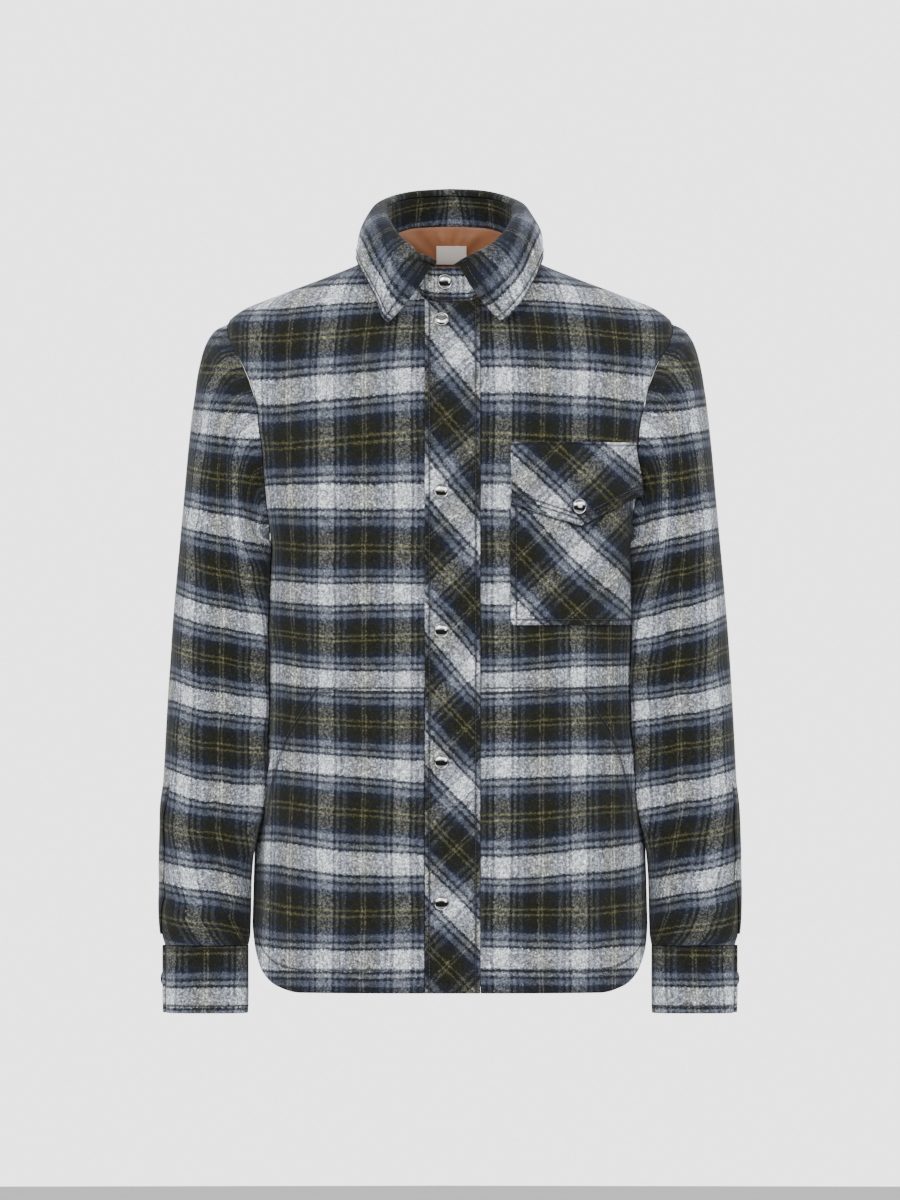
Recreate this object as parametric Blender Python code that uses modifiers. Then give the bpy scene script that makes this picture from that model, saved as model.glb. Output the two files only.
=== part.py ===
"""A plaid wool shacket with snap closure, hollow as it is worn.

Lengths are in millimetres and become metres when a mesh is made. +Z is up, the front faces -Y,
and +X is the wearer's left. The origin is between the shoulders, at the height where the
shoulder seams meet the neck.
"""
import math
from bisect import bisect_right
from collections import namedtuple

import bmesh
import bpy
from mathutils import Matrix, Vector

MM = 0.001
NAME = "shacket"

# Cloth
BODY_WALL = 2.0
BAND_WALL = 3.0
COLLAR_WALL = 4.0
LINING_WALL = 1.0
LABEL_WALL = 0.8
SEAM_GAP = 0.3
ROUNDNESS = 2.8

# Body levels
CENTRE_HEM = -728.0
UNDERARM = -290.0
SHOULDER_TIP = -62.0
NECK_SIDE = 8.0

# Front band, with its free edge on the wearer's right
BAND_FREE_EDGE = -25.0
BAND_SEAM = 30.0
BAND_TOP_GAP = 1.5
UNDERLAP_EDGE = 24.0
NEAR_CENTRE = 45.0
BAND_SPOTS = (BAND_FREE_EDGE, -8.0, 8.0, UNDERLAP_EDGE, BAND_SEAM)

# Snaps
SNAP_RADIUS = 7.5
SNAP_HEIGHT = 3.2
SNAP_X = -8.5
SNAP_LEVELS = (-61.0, -230.0, -368.0, -498.0, -638.0)
STAND_SNAP = (-5.0, -22.0)
FLAP_SNAP = (125.0, -245.0)

FormRow = namedtuple("FormRow", "z half_width front_depth back_depth")
FORM = (
    FormRow(-728.0, 195.5, 122.0, 118.0),
    FormRow(-640.0, 193.5, 126.0, 122.0),
    FormRow(-588.0, 192.0, 128.0, 124.0),
    FormRow(-540.0, 190.0, 129.0, 125.0),
    FormRow(-480.0, 187.0, 130.0, 126.0),
    FormRow(-400.0, 184.5, 130.0, 126.0),
    FormRow(-290.0, 184.5, 130.0, 127.0),
    FormRow(-240.0, 197.0, 128.0, 127.0),
    FormRow(-200.0, 206.0, 125.0, 126.0),
    FormRow(-154.0, 215.0, 118.0, 123.0),
    FormRow(-110.0, 221.0, 108.0, 117.0),
    FormRow(-80.0, 223.0, 98.0, 110.0),
    FormRow(-62.0, 222.0, 89.0, 104.0),
    FormRow(-50.0, 210.0, 83.0, 99.0),
    FormRow(-33.0, 170.0, 75.0, 90.0),
    FormRow(-16.0, 125.0, 70.0, 80.0),
    FormRow(0.0, 87.0, 67.0, 71.0),
    FormRow(8.0, 77.0, 66.0, 67.0),
    FormRow(20.0, 73.0, 65.0, 64.0),
    FormRow(36.0, 71.0, 64.0, 61.0),
    FormRow(60.0, 70.0, 63.0, 60.0),
)

# The armhole's edge, as degrees round the form from the side
ArmholeRow = namedtuple("ArmholeRow", "z front_turn back_turn")
ARMHOLE = (
    ArmholeRow(-290.0, 0.0, 0.0),
    ArmholeRow(-289.0, 4.0, 4.0),
    ArmholeRow(-286.0, 8.0, 8.0),
    ArmholeRow(-280.0, 12.0, 12.0),
    ArmholeRow(-270.0, 16.0, 15.0),
    ArmholeRow(-250.0, 21.0, 20.0),
    ArmholeRow(-225.0, 26.0, 24.0),
    ArmholeRow(-190.0, 31.0, 28.0),
    ArmholeRow(-154.0, 33.0, 30.0),
    ArmholeRow(-124.0, 30.0, 28.0),
    ArmholeRow(-104.0, 25.0, 24.0),
    ArmholeRow(-86.0, 17.0, 17.0),
    ArmholeRow(-76.0, 11.0, 11.0),
    ArmholeRow(-70.0, 6.5, 6.5),
    ArmholeRow(-62.0, 0.0, 0.0),
)

# Edges that follow the turn round the form: 0 at the side, 90 at the centre front or back
EdgeRow = namedtuple("EdgeRow", "turn z")
HEM = (
    EdgeRow(0.0, -657.0),
    EdgeRow(7.0, -670.0),
    EdgeRow(14.0, -688.0),
    EdgeRow(23.0, -708.0),
    EdgeRow(35.0, -722.0),
    EdgeRow(48.0, CENTRE_HEM),
    EdgeRow(90.0, CENTRE_HEM),
)
FRONT_NECK = (
    EdgeRow(0.0, NECK_SIDE),
    EdgeRow(33.0, 4.0),
    EdgeRow(55.0, -3.0),
    EdgeRow(73.0, -13.0),
    EdgeRow(84.0, -30.0),
    EdgeRow(86.0, -37.0),
    EdgeRow(87.5, -40.0),
    EdgeRow(90.0, -41.0),
)
BACK_NECK = (
    EdgeRow(0.0, NECK_SIDE),
    EdgeRow(30.0, 14.0),
    EdgeRow(60.0, 28.0),
    EdgeRow(90.0, 36.0),
)

# Sleeve sections from the armhole to the cuff, on the wearer's left. The inner point is on the
# side of the body, the outer point away from it.
SleeveRow = namedtuple(
    "SleeveRow", "station inner_x inner_z outer_x outer_z half_depth forward blend"
)
SLEEVE = (
    SleeveRow(0, 184.9, -290.0, 222.0, -62.0, 79.0, 0.0, 1.00),
    SleeveRow(1, 186.6, -291.5, 234.0, -68.0, 80.0, 0.0, 0.85),
    SleeveRow(2, 187.2, -293.5, 244.0, -82.0, 80.5, 0.0, 0.65),
    SleeveRow(3, 187.4, -296.0, 250.5, -104.0, 80.5, 0.5, 0.45),
    SleeveRow(4, 187.5, -299.5, 255.0, -130.0, 80.0, 1.0, 0.30),
    SleeveRow(5, 187.5, -304.0, 258.5, -158.0, 79.5, 1.5, 0.18),
    SleeveRow(6, 187.4, -312.0, 262.0, -192.0, 79.0, 2.0, 0.10),
    SleeveRow(7, 187.3, -324.0, 265.5, -232.0, 78.0, 3.0, 0.05),
    SleeveRow(8, 187.2, -343.0, 269.5, -276.0, 77.0, 4.0, 0.0),
    SleeveRow(9, 187.2, -370.0, 274.0, -325.0, 76.0, 6.0, 0.0),
    SleeveRow(10, 187.6, -405.0, 278.5, -380.0, 74.0, 8.0, 0.0),
    SleeveRow(11, 188.8, -448.0, 282.0, -436.0, 71.5, 10.0, 0.0),
    SleeveRow(12, 191.2, -500.0, 285.0, -494.0, 68.0, 13.0, 0.0),
    SleeveRow(13, 194.6, -550.0, 287.5, -547.0, 63.5, 16.0, 0.0),
    SleeveRow(14, 197.0, -595.0, 289.0, -594.0, 58.5, 19.0, 0.0),
    SleeveRow(15, 198.2, -630.0, 289.5, -630.0, 53.0, 21.0, 0.0),
    SleeveRow(16, 198.6, -655.0, 289.0, -655.0, 48.0, 22.0, 0.0),
    SleeveRow(17, 199.2, -671.0, 287.5, -671.0, 42.5, 22.0, 0.0),
    SleeveRow(18, 201.0, -682.0, 284.5, -682.0, 35.5, 22.0, 0.0),
)

# Strip over the sleeve's vent, with its two edges as degrees from the sleeve's outer line
VentRow = namedtuple("VentRow", "station ahead behind")
VENT = (
    VentRow(12, 42.0, -2.0),
    VentRow(13, 37.0, -8.0),
    VentRow(14, 32.0, -14.0),
    VentRow(15, 26.0, -20.0),
    VentRow(16, 20.0, -26.0),
    VentRow(17, 15.0, -32.0),
)

CuffRow = namedtuple("CuffRow", "z half_width half_depth")
CUFF = (
    CuffRow(-750.0, 41.0, 32.5),
    CuffRow(-728.0, 41.5, 33.0),
    CuffRow(-705.0, 41.5, 33.5),
    CuffRow(-682.4, 41.5, 33.5),
)
CUFF_CENTRE_X = 242.5
CUFF_FORWARD = 22.0
CUFF_START = -45.0
CUFF_RISE_START = 282.0
CUFF_RISE_END = 310.0
CUFF_END = 355.0
CUFF_COLUMNS = 30
CUFF_SNAP = (336.0, -716.0)

# Collar: the roll line's crest and the fall's lower edge, from centre front to centre back
CollarRow = namedtuple(
    "CollarRow", "station roll_x roll_y roll_z edge_x edge_y edge_z reach drop"
)
COLLAR = (
    CollarRow(0.00, 12.0, -92.0, -4.0, 58.0, -99.0, -59.0, 0.59, 20.0),
    CollarRow(0.12, 31.0, -87.0, 9.0, 68.0, -93.0, -48.0, 0.65, 14.0),
    CollarRow(0.25, 48.0, -71.0, 23.0, 80.0, -79.0, -27.0, 0.78, 8.0),
    CollarRow(0.38, 60.0, -46.0, 38.0, 90.5, -58.0, -5.0, 0.90, 4.0),
    CollarRow(0.50, 66.0, -20.0, 50.0, 94.0, -14.0, 5.0, 0.95, 2.0),
    CollarRow(0.62, 66.0, 8.0, 60.0, 88.0, 20.0, 10.0, 0.95, 2.0),
    CollarRow(0.75, 58.0, 34.0, 67.0, 74.0, 48.0, 17.0, 0.95, 2.0),
    CollarRow(0.88, 33.0, 55.0, 73.0, 42.0, 70.0, 24.0, 0.95, 2.0),
    CollarRow(1.00, 0.0, 62.0, 75.0, 0.0, 77.0, 28.0, 0.95, 2.0),
)
# Where a place round the neck seam, as degrees from the centre front, meets the roll line
StandRow = namedtuple("StandRow", "turn station")
STAND = (
    StandRow(0.0, 0.00),
    StandRow(6.0, 0.12),
    StandRow(17.0, 0.25),
    StandRow(35.0, 0.38),
    StandRow(60.0, 0.47),
    StandRow(90.0, 0.56),
    StandRow(120.0, 0.68),
    StandRow(150.0, 0.84),
    StandRow(180.0, 1.00),
)
STAND_BELOW_CREST = 8.0
STAND_FRONT_TOP = (-83.0, -8.0)
STAND_LIFT = 3.5
STAND_RISES = (0.0, 0.33, 0.67, 1.0)
# The stand's outer end, whose corners are rounded
LapRow = namedtuple("LapRow", "x lift_share trim")
STAND_LAP_ROWS = (
    LapRow(BAND_SEAM, 0.6, 0.0),
    LapRow(UNDERLAP_EDGE, 1.0, 0.0),
    LapRow(8.0, 1.0, 0.0),
    LapRow(-8.0, 1.0, 0.0),
    LapRow(-18.0, 1.0, 0.04),
    LapRow(-23.0, 1.0, 0.14),
    LapRow(-25.0, 1.0, 0.30),
)
# The fall starts inside the roll: steps outwards and upwards from the crest
FallRow = namedtuple("FallRow", "outward upward")
FALL_ROLL = (
    FallRow(-3.5, -6.8),
    FallRow(-3.3, -3.5),
    FallRow(-1.6, -0.9),
    FallRow(2.0, 0.0),
)
FALL_STEPS = 5
FALL_FRONT_ROLL = 0.3
FALL_COLUMNS = 12

# Hand pockets: the slanted mouth from the top edge's outer end to the side
MouthRow = namedtuple("MouthRow", "z x")
POCKET_TOP = -424.0
MOUTH_END = -556.0
POCKET_SIDE_TURN = 2.5
MOUTH = (
    MouthRow(-556.0, 189.0),
    MouthRow(-538.0, 186.5),
    MouthRow(-515.0, 181.0),
    MouthRow(-483.0, 171.0),
    MouthRow(-450.0, 153.0),
    MouthRow(POCKET_TOP, 137.0),
)

POCKET_LIFT = 0.7
HAND_POCKET_LIFT = 1.5
MOUTH_MIDDLES = (-540.0, -507.0)
POCKET_COLUMNS = 16

# Chest pocket and flap, as seen from the front on the wearer's left
CHEST_LEFT = 60.0
CHEST_RIGHT = 181.0
CHEST_TOP = -214.0
CHEST_BOTTOM = -363.0
CHEST_ROWS = 10
CHEST_COLUMNS = 12
FLAP_LEFT = 60.0
FLAP_RIGHT_TOP = 183.0
FLAP_RIGHT_LOW = 184.5
FLAP_TOP = -181.5
FLAP_POINT = (127.0, -264.0)
FLAP_LOW_LEFT = -242.0
FLAP_LOW_RIGHT = -232.0
FLAP_ROWS = 7
FLAP_LIFT = 3.5
FLAP_RISE = 24.0

# Label at the centre back, inside the neck
LABEL_SPAN = (-14.0, 17.0)
LABEL_HEIGHTS = (3.0, 19.0)
LINING_LIFT = -4.6
LINING_INSET = 3.0
LINING_ROWS = (1, 4, 7, 10, 11, 13, 15, 17, 19, 21, 23, 25, 26, 27, 28, 29, 30)

SLEEVE_TURNS = 28
HALF_ARMHOLE = SLEEVE_TURNS // 2
BODY_ROWS = 11
POCKET_ROWS = 8
SHOULDER_ROWS = 5
FRONT_COLUMNS = 9
BACK_COLUMNS = 10
SNAP_SEGMENTS = 14

COLOURS = {
    "wool": (0.12, 0.13, 0.14, 1.0),
    "lining": (0.33, 0.13, 0.052, 1.0),
    "label": (0.77, 0.68, 0.62, 1.0),
    "metal": (0.72, 0.72, 0.73, 1.0),
}


def clear_scene():
    """Removes whatever the scene holds before the model is made."""
    for obj in list(bpy.data.objects):
        bpy.data.objects.remove(obj)


def material(name, colour, roughness, metallic=0.0):
    """One plain Principled material."""
    made = bpy.data.materials.new(name)
    made.use_nodes = True
    shader = made.node_tree.nodes["Principled BSDF"]
    shader.inputs["Base Color"].default_value = colour
    shader.inputs["Roughness"].default_value = roughness
    shader.inputs["Metallic"].default_value = metallic
    return made


def read(rows, column, at):
    """Smooth value of a named column, through the rows, without overshoot."""
    stations = [row[0] for row in rows]
    values = [getattr(row, column) for row in rows]
    if at <= stations[0]:
        return values[0]
    if at >= stations[-1]:
        return values[-1]
    steps = [b - a for a, b in zip(stations, stations[1:])]
    slopes = [(b - a) / step for a, b, step in zip(values, values[1:], steps)]
    here = bisect_right(stations, at) - 1

    def tangent(index):
        if index == 0:
            return slopes[0]
        if index == len(slopes):
            return slopes[-1]
        before, after = slopes[index - 1], slopes[index]
        if before * after <= 0.0:
            return 0.0
        return 2.0 * before * after / (before + after)

    step = steps[here]
    t = (at - stations[here]) / step
    start = (1.0 + 2.0 * t) * (1.0 - t) ** 2 * values[here]
    end = t * t * (3.0 - 2.0 * t) * values[here + 1]
    leave = t * (1.0 - t) ** 2 * step * tangent(here)
    arrive = t * t * (t - 1.0) * step * tangent(here + 1)
    return start + end + leave + arrive


def ease(t):
    """A soft step from 0 to 1."""
    t = min(1.0, max(0.0, t))
    return t * t * (3.0 - 2.0 * t)


def power(value, exponent):
    """A power that keeps the sign."""
    return math.copysign(abs(value) ** exponent, value)


def form_shape(angle, z):
    """Point on the garment's form: 0 degrees is the wearer's left side, 90 the front."""
    turn = math.radians(angle)
    across = power(math.cos(turn), 2.0 / ROUNDNESS)
    ahead = power(math.sin(turn), 2.0 / ROUNDNESS)
    depth = read(FORM, "front_depth" if ahead > 0.0 else "back_depth", z)
    return Vector((read(FORM, "half_width", z) * across, -depth * ahead, z))


def form_normal(angle, z):
    """Outward direction of the form."""
    reach = 1.5
    rise = 1.5
    around = form_shape(angle + reach, z) - form_shape(angle - reach, z)
    upward = form_shape(angle, z + rise) - form_shape(angle, z - rise)
    return upward.cross(around).normalized()


def form_point(angle, z, lift=0.0):
    """Point on the form, moved out by lift."""
    return form_shape(angle, z) + form_normal(angle, z) * lift


def angle_at(x, z):
    """Angle round the form of the front point with this x."""
    ratio = min(1.0, abs(x) / read(FORM, "half_width", z))
    turn = math.degrees(math.acos(ratio ** (ROUNDNESS / 2.0)))
    return turn if x >= 0.0 else 180.0 - turn


def turn_of(angle):
    """Degrees from the nearer side seam."""
    angle = angle % 180.0
    return min(angle, 180.0 - angle)


def side_levels():
    """Heights of a panel's rows at its side edge, and which of them are on the armhole."""
    hem_side = HEM[0].z
    body = [hem_side + (UNDERARM - hem_side) * i / BODY_ROWS for i in range(BODY_ROWS)]
    middle = 0.5 * (UNDERARM + SHOULDER_TIP)
    half = 0.5 * (SHOULDER_TIP - UNDERARM)
    armhole = [middle - half * math.cos(math.pi * i / HALF_ARMHOLE) for i in range(HALF_ARMHOLE + 1)]
    shoulder = [
        SHOULDER_TIP + (NECK_SIDE - SHOULDER_TIP) * (i + 1) / SHOULDER_ROWS
        for i in range(SHOULDER_ROWS)
    ]
    return body + armhole + shoulder


def row_height(side_z, turn, neck):
    """Height of a row away from the side: it bends to the hem below and to the neck above."""
    hem_weight = 1.0 - ease((side_z - HEM[0].z) / 160.0)
    neck_weight = ease((side_z + 160.0) / (NECK_SIDE + 160.0))
    hem_change = read(HEM, "z", turn) - HEM[0].z
    neck_change = read(neck, "z", turn) - NECK_SIDE
    return side_z + hem_weight * hem_change + neck_weight * neck_change


def armhole_turn(side_z, column):
    """Degrees from the side to the panel's edge."""
    if UNDERARM < side_z < SHOULDER_TIP:
        return read(ARMHOLE, column, side_z)
    return 0.0


def place_at(x, side_z):
    """Angle and height where a row of the front reaches this x."""
    angle = 90.0
    for _ in range(8):
        z = row_height(side_z, turn_of(angle), FRONT_NECK)
        angle = angle_at(x, z)
    return angle, row_height(side_z, turn_of(angle), FRONT_NECK)


def centre_spots(edge_x):
    """Places across the front of the columns near its centre edge."""
    if edge_x > 0.0:
        return (edge_x,)
    return (-BAND_FREE_EDGE, 8.0, -8.0, edge_x)


def front_grid(edge_x):
    """Rows of (angle, z) of a front on the wearer's left, whose centre edge is at edge_x."""
    grid = []
    for side_z in side_levels():
        start = armhole_turn(side_z, "front_turn")
        end, _ = place_at(NEAR_CENTRE, side_z)
        angles = [start + (end - start) * i / FRONT_COLUMNS for i in range(FRONT_COLUMNS + 1)]
        angles += [place_at(x, side_z)[0] for x in centre_spots(edge_x)]
        grid.append([(angle, row_height(side_z, turn_of(angle), FRONT_NECK)) for angle in angles])
    return grid


def back_grid(inset=0.0):
    """Rows of (angle, z) of the whole back, from the wearer's left round to the right."""
    grid = []
    for side_z in side_levels():
        start = armhole_turn(side_z, "back_turn") + inset
        row = []
        for i in range(2 * BACK_COLUMNS + 1):
            share = i / BACK_COLUMNS - 1.0
            turn = 90.0 - (90.0 - start) * abs(share)
            angle = -turn if share <= 0.0 else turn - 180.0
            row.append((angle, row_height(side_z, turn, BACK_NECK)))
        grid.append(row)
    return grid


def grid_mesh(name, points, closed=False):
    """An open sheet through a grid of points in millimetres, or a tube where it is closed."""
    made = bmesh.new()
    rows = [[made.verts.new(point * MM) for point in row] for row in points]
    for low, high in zip(rows, rows[1:]):
        columns = len(low) if closed else len(low) - 1
        for i in range(columns):
            j = (i + 1) % len(low)
            made.faces.new((low[i], low[j], high[j], high[i]))
    mesh = bpy.data.meshes.new(name)
    made.to_mesh(mesh)
    made.free()
    return mesh


def add_object(name, mesh, finish):
    """Puts a mesh in the garment's collection as one named piece."""
    obj = bpy.data.objects.new(name, mesh)
    obj.data.materials.append(finish)
    bpy.data.collections[NAME].objects.link(obj)
    return obj


def face_outward(mesh, outward_at):
    """Turns the sheet's faces to the side that outward_at gives for a face's centre."""
    made = bmesh.new()
    made.from_mesh(mesh)
    made.faces.ensure_lookup_table()
    votes = sum(face.normal.dot(outward_at(face.calc_center_median())) for face in made.faces)
    if votes < 0.0:
        bmesh.ops.reverse_faces(made, faces=made.faces[:])
    made.to_mesh(mesh)
    made.free()


def thicken(obj, thickness, offset):
    """Gives a sheet its thickness: offset -1 puts it inside, 1 outside."""
    wall = obj.modifiers.new("wall", "SOLIDIFY")
    wall.thickness = thickness * MM
    wall.offset = offset
    wall.use_even_offset = False
    wall.use_rim = True
    return wall


def cloth(name, points, finish, thickness, outside=False, closed=False, centre=None):
    """One piece of cloth: a sheet through its points, thickened inwards or outwards."""
    mesh = grid_mesh(name, points, closed)
    axis = centre if centre else (lambda at: Vector((0.0, 0.0, at.z)))
    face_outward(mesh, lambda at: at - axis(at))
    obj = add_object(name, mesh, finish)
    thicken(obj, thickness, 1.0 if outside else -1.0)
    mesh.shade_smooth()
    return obj


def mirrored(points, side):
    """The same points on the wearer's left (1) or right (-1)."""
    return [[Vector((side * p.x, p.y, p.z)) for p in row] for row in points]


def part_seams(points, gap):
    """Moves the edge that lies on the side and shoulder seams off the seam's plane."""
    for row in points:
        for point in (row[0], row[-1]):
            if abs(point.y) < gap:
                point.y = math.copysign(gap, row[len(row) // 2].y)
    return points


def make_fronts(wool):
    """The two fronts. The wearer's right one runs on under the band."""
    for name, side, edge_x in (("front_left", 1, BAND_SEAM + SEAM_GAP), ("front_right", -1, -UNDERLAP_EDGE)):
        points = [[form_point(angle, z) for angle, z in row] for row in front_grid(edge_x)]
        part_seams(points, 0.5 * SEAM_GAP)
        cloth(name, mirrored(points, side), wool, BODY_WALL)


def make_back(wool):
    """The plain back, in one piece."""
    points = [[form_point(angle, z) for angle, z in row] for row in back_grid()]
    part_seams(points, 0.5 * SEAM_GAP)
    cloth("back", points, wool, BODY_WALL)


def make_lining(lining, label):
    """The lining inside the back and the blank label at its neck."""
    rows = back_grid(inset=LINING_INSET)
    rows = [rows[i][::2] for i in LINING_ROWS]
    points = [[form_point(angle, z, LINING_LIFT) for angle, z in row] for row in rows]
    cloth("lining_back", points, lining, LINING_WALL)
    lift = LINING_LIFT - LINING_WALL - 5.0 * SEAM_GAP
    low, high = LABEL_HEIGHTS
    left, right = LABEL_SPAN
    points = []
    for i in range(3):
        z = low + (high - low) * i / 2
        spots = [left + (right - left) * j / 4 for j in range(5)]
        points.append([form_point(-angle_at(x, z), z, lift) for x in spots])
    cloth("neck_label", points, label, LABEL_WALL)


def make_band(wool):
    """The bias-cut front band, over the wearer's right front."""
    points = []
    for side_z in side_levels():
        drop = BAND_TOP_GAP if side_z == NECK_SIDE else 0.0
        places = [place_at(x, side_z) for x in BAND_SPOTS]
        points.append([form_point(angle, z - drop, SEAM_GAP) for angle, z in places])
    cloth("placket", points, wool, BAND_WALL, outside=True)


def overlay_row(left, right, z, columns, lift):
    """Points over the front at one height, at even turns between two places across it."""
    start = angle_at(right, z)
    end = angle_at(left, z)
    angles = [start + (end - start) * i / columns for i in range(columns + 1)]
    return [form_point(angle, z, lift) for angle in angles]


def make_hand_pockets(wool):
    """The large lower patches, whose mouths slant to the side seams."""
    for name, side, edge_x in (
        ("hand_pocket_left", 1, BAND_SEAM + SEAM_GAP),
        ("hand_pocket_right", -1, -BAND_FREE_EDGE + 2.0 * SEAM_GAP),
    ):
        points = []
        for side_z in sorted(side_levels()[:POCKET_ROWS] + list(MOUTH_MIDDLES)):
            if side_z < MOUTH_END:
                start = POCKET_SIDE_TURN
            else:
                start = angle_at(read(MOUTH, "x", side_z), side_z)
            end, _ = place_at(edge_x, side_z)
            angles = [start + (end - start) * i / POCKET_COLUMNS for i in range(POCKET_COLUMNS + 1)]
            row = [(angle, row_height(side_z, turn_of(angle), FRONT_NECK)) for angle in angles]
            points.append([form_point(angle, z, HAND_POCKET_LIFT) for angle, z in row])
        cloth(name, mirrored(points, side), wool, BODY_WALL, outside=True)


def flap_lift(z):
    """How far the flap's underside stands off the front: it is sewn down along its top."""
    return POCKET_LIFT + (FLAP_LIFT - POCKET_LIFT) * ease((FLAP_TOP - z) / FLAP_RISE)


def flap_place(across, down):
    """Point of the flap as seen from the front, from shares of its width and length."""
    right = FLAP_RIGHT_TOP + (FLAP_RIGHT_LOW - FLAP_RIGHT_TOP) * down
    x = FLAP_LEFT + (right - FLAP_LEFT) * across
    middle = (FLAP_POINT[0] - FLAP_LEFT) / (FLAP_RIGHT_LOW - FLAP_LEFT)
    if across < middle:
        low = FLAP_LOW_LEFT + (FLAP_POINT[1] - FLAP_LOW_LEFT) * across / middle
    else:
        share = (1.0 - across) / (1.0 - middle)
        low = FLAP_LOW_RIGHT + (FLAP_POINT[1] - FLAP_LOW_RIGHT) * share
    return x, FLAP_TOP + (low - FLAP_TOP) * down


def make_chest_pocket(wool):
    """The bias-cut chest pocket and its pointed flap."""
    points = []
    for i in range(CHEST_ROWS + 1):
        z = CHEST_BOTTOM + (CHEST_TOP - CHEST_BOTTOM) * i / CHEST_ROWS
        points.append(overlay_row(CHEST_LEFT, CHEST_RIGHT, z, CHEST_COLUMNS, POCKET_LIFT))
    cloth("chest_pocket", points, wool, BODY_WALL, outside=True)
    points = []
    for i in range(FLAP_ROWS + 1):
        row = [flap_place(j / CHEST_COLUMNS, i / FLAP_ROWS) for j in range(CHEST_COLUMNS + 1)]
        points.append([form_point(angle_at(x, z), z, flap_lift(z)) for x, z in row])
    cloth("pocket_flap", points, wool, BAND_WALL, outside=True)


def stand_columns():
    """Columns of the stand from its under end to its outer end: angle, lift and end trim.

    Between its ends it has the columns of the necklines that it is sewn to.
    """
    right = [angle for angle, _ in front_grid(-UNDERLAP_EDGE)[-1]]
    back = [angle for angle, _ in back_grid()[-1]]
    left = [angle for angle, _ in front_grid(BAND_SEAM)[-1]][:-1]
    angles = [180.0 - angle for angle in reversed(right)]
    angles += [360.0 + angle for angle in reversed(back[1:-1])]
    angles += [360.0 + angle for angle in left]
    columns = [(angle, 0.0, 0.0) for angle in angles]
    for row in STAND_LAP_ROWS:
        angle, _ = place_at(row.x, NECK_SIDE)
        columns.append((angle + 360.0, row.lift_share * STAND_LIFT, row.trim))
    return columns


def stand_point(angle, rise, lift):
    """Point of the stand's outer face, from the neck seam (0) to its top (1)."""
    turn = turn_of(angle)
    ahead = math.sin(math.radians(angle)) >= 0.0
    seam = form_shape(angle, read(FRONT_NECK if ahead else BACK_NECK, "z", turn))
    from_front = 90.0 - turn if ahead else 90.0 + turn
    station = read(STAND, "station", from_front)
    side = 1.0 if seam.x >= 0.0 else -1.0
    crest = Vector((side * read(COLLAR, "roll_x", station), read(COLLAR, "roll_y", station), 0.0))
    crest.y = max(crest.y, STAND_FRONT_TOP[0])
    crest.z = read(COLLAR, "roll_z", station) - STAND_BELOW_CREST
    front_top = Vector((seam.x, STAND_FRONT_TOP[0], STAND_FRONT_TOP[1]))
    share = ease((abs(seam.x) - 12.0) / 26.0) if ahead else 1.0
    top = front_top.lerp(crest, share)
    point = seam.lerp(top, rise)
    outward = Vector((point.x, point.y, 0.0)).normalized()
    if ahead and abs(seam.x) < 45.0:
        outward = Vector((0.0, -1.0, 0.0))
    return point + outward * lift + Vector((0.0, 0.0, SEAM_GAP))


def make_stand(wool):
    """The collar stand: a band with overlapping rounded ends at the front."""
    points = []
    for rise in STAND_RISES:
        row = []
        for angle, lift, trim in stand_columns():
            trimmed = trim + (1.0 - 2.0 * trim) * rise
            row.append(stand_point(angle, trimmed, lift))
        points.append(row)
    cloth("collar_stand", points, wool, BAND_WALL)


def fall_section(station, side):
    """Points of the fall at one place: up inside the roll, over the crest and down outside."""
    names = ("roll_x", "roll_y", "roll_z", "edge_x", "edge_y", "edge_z", "reach", "drop")
    roll_x, roll_y, roll_z, edge_x, edge_y, edge_z, reach, drop = (
        read(COLLAR, name, station) for name in names
    )
    crest = Vector((side * roll_x, roll_y, roll_z))
    edge = Vector((side * edge_x, edge_y, edge_z))
    outward = Vector((edge.x - crest.x, edge.y - crest.y, 0.0))
    span = outward.length
    outward.normalize()
    up = Vector((0.0, 0.0, 1.0))
    height = FALL_FRONT_ROLL + (1.0 - FALL_FRONT_ROLL) * ease(station / COLLAR[1].station)
    points = [crest + outward * row.outward + up * (row.upward * height) for row in FALL_ROLL]
    start = points[-1]
    control = crest + outward * (span * reach) - up * drop
    for i in range(1, FALL_STEPS + 1):
        t = i / FALL_STEPS
        points.append(start * (1.0 - t) ** 2 + control * 2.0 * t * (1.0 - t) + edge * t * t)
    return points


def make_fall(wool):
    """The pointed collar, turned down over its roll."""
    half = [i / FALL_COLUMNS for i in range(FALL_COLUMNS + 1)]
    sections = [fall_section(station, 1.0) for station in half]
    sections += [fall_section(station, -1.0) for station in reversed(half[:-1])]
    mesh = grid_mesh("collar_fall", sections)
    obj = add_object("collar_fall", mesh, wool)
    thicken(obj, COLLAR_WALL, -1.0)
    mesh.shade_smooth()


def sleeve_angles():
    """The armhole's points and their place round a sleeve section: 0 is the outer point."""
    first = SLEEVE[0]
    outer = Vector((first.outer_x, 0.0, first.outer_z))
    inner = Vector((first.inner_x, 0.0, first.inner_z))
    centre = 0.5 * (outer + inner)
    axis = 0.5 * (outer - inner)
    levels = side_levels()[BODY_ROWS:BODY_ROWS + HALF_ARMHOLE + 1]
    loop = [(form_point(read(ARMHOLE, "front_turn", z), z), z) for z in reversed(levels)]
    loop += [(form_point(-read(ARMHOLE, "back_turn", z), z), z) for z in levels[1:-1]]
    found = []
    for point, _ in loop:
        along = (point - centre).dot(axis) / axis.length_squared
        beside = -point.y / first.half_depth
        turn = math.atan2(power(beside, ROUNDNESS / 2.0), power(along, ROUNDNESS / 2.0))
        found.append((point, turn))
    return found


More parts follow.
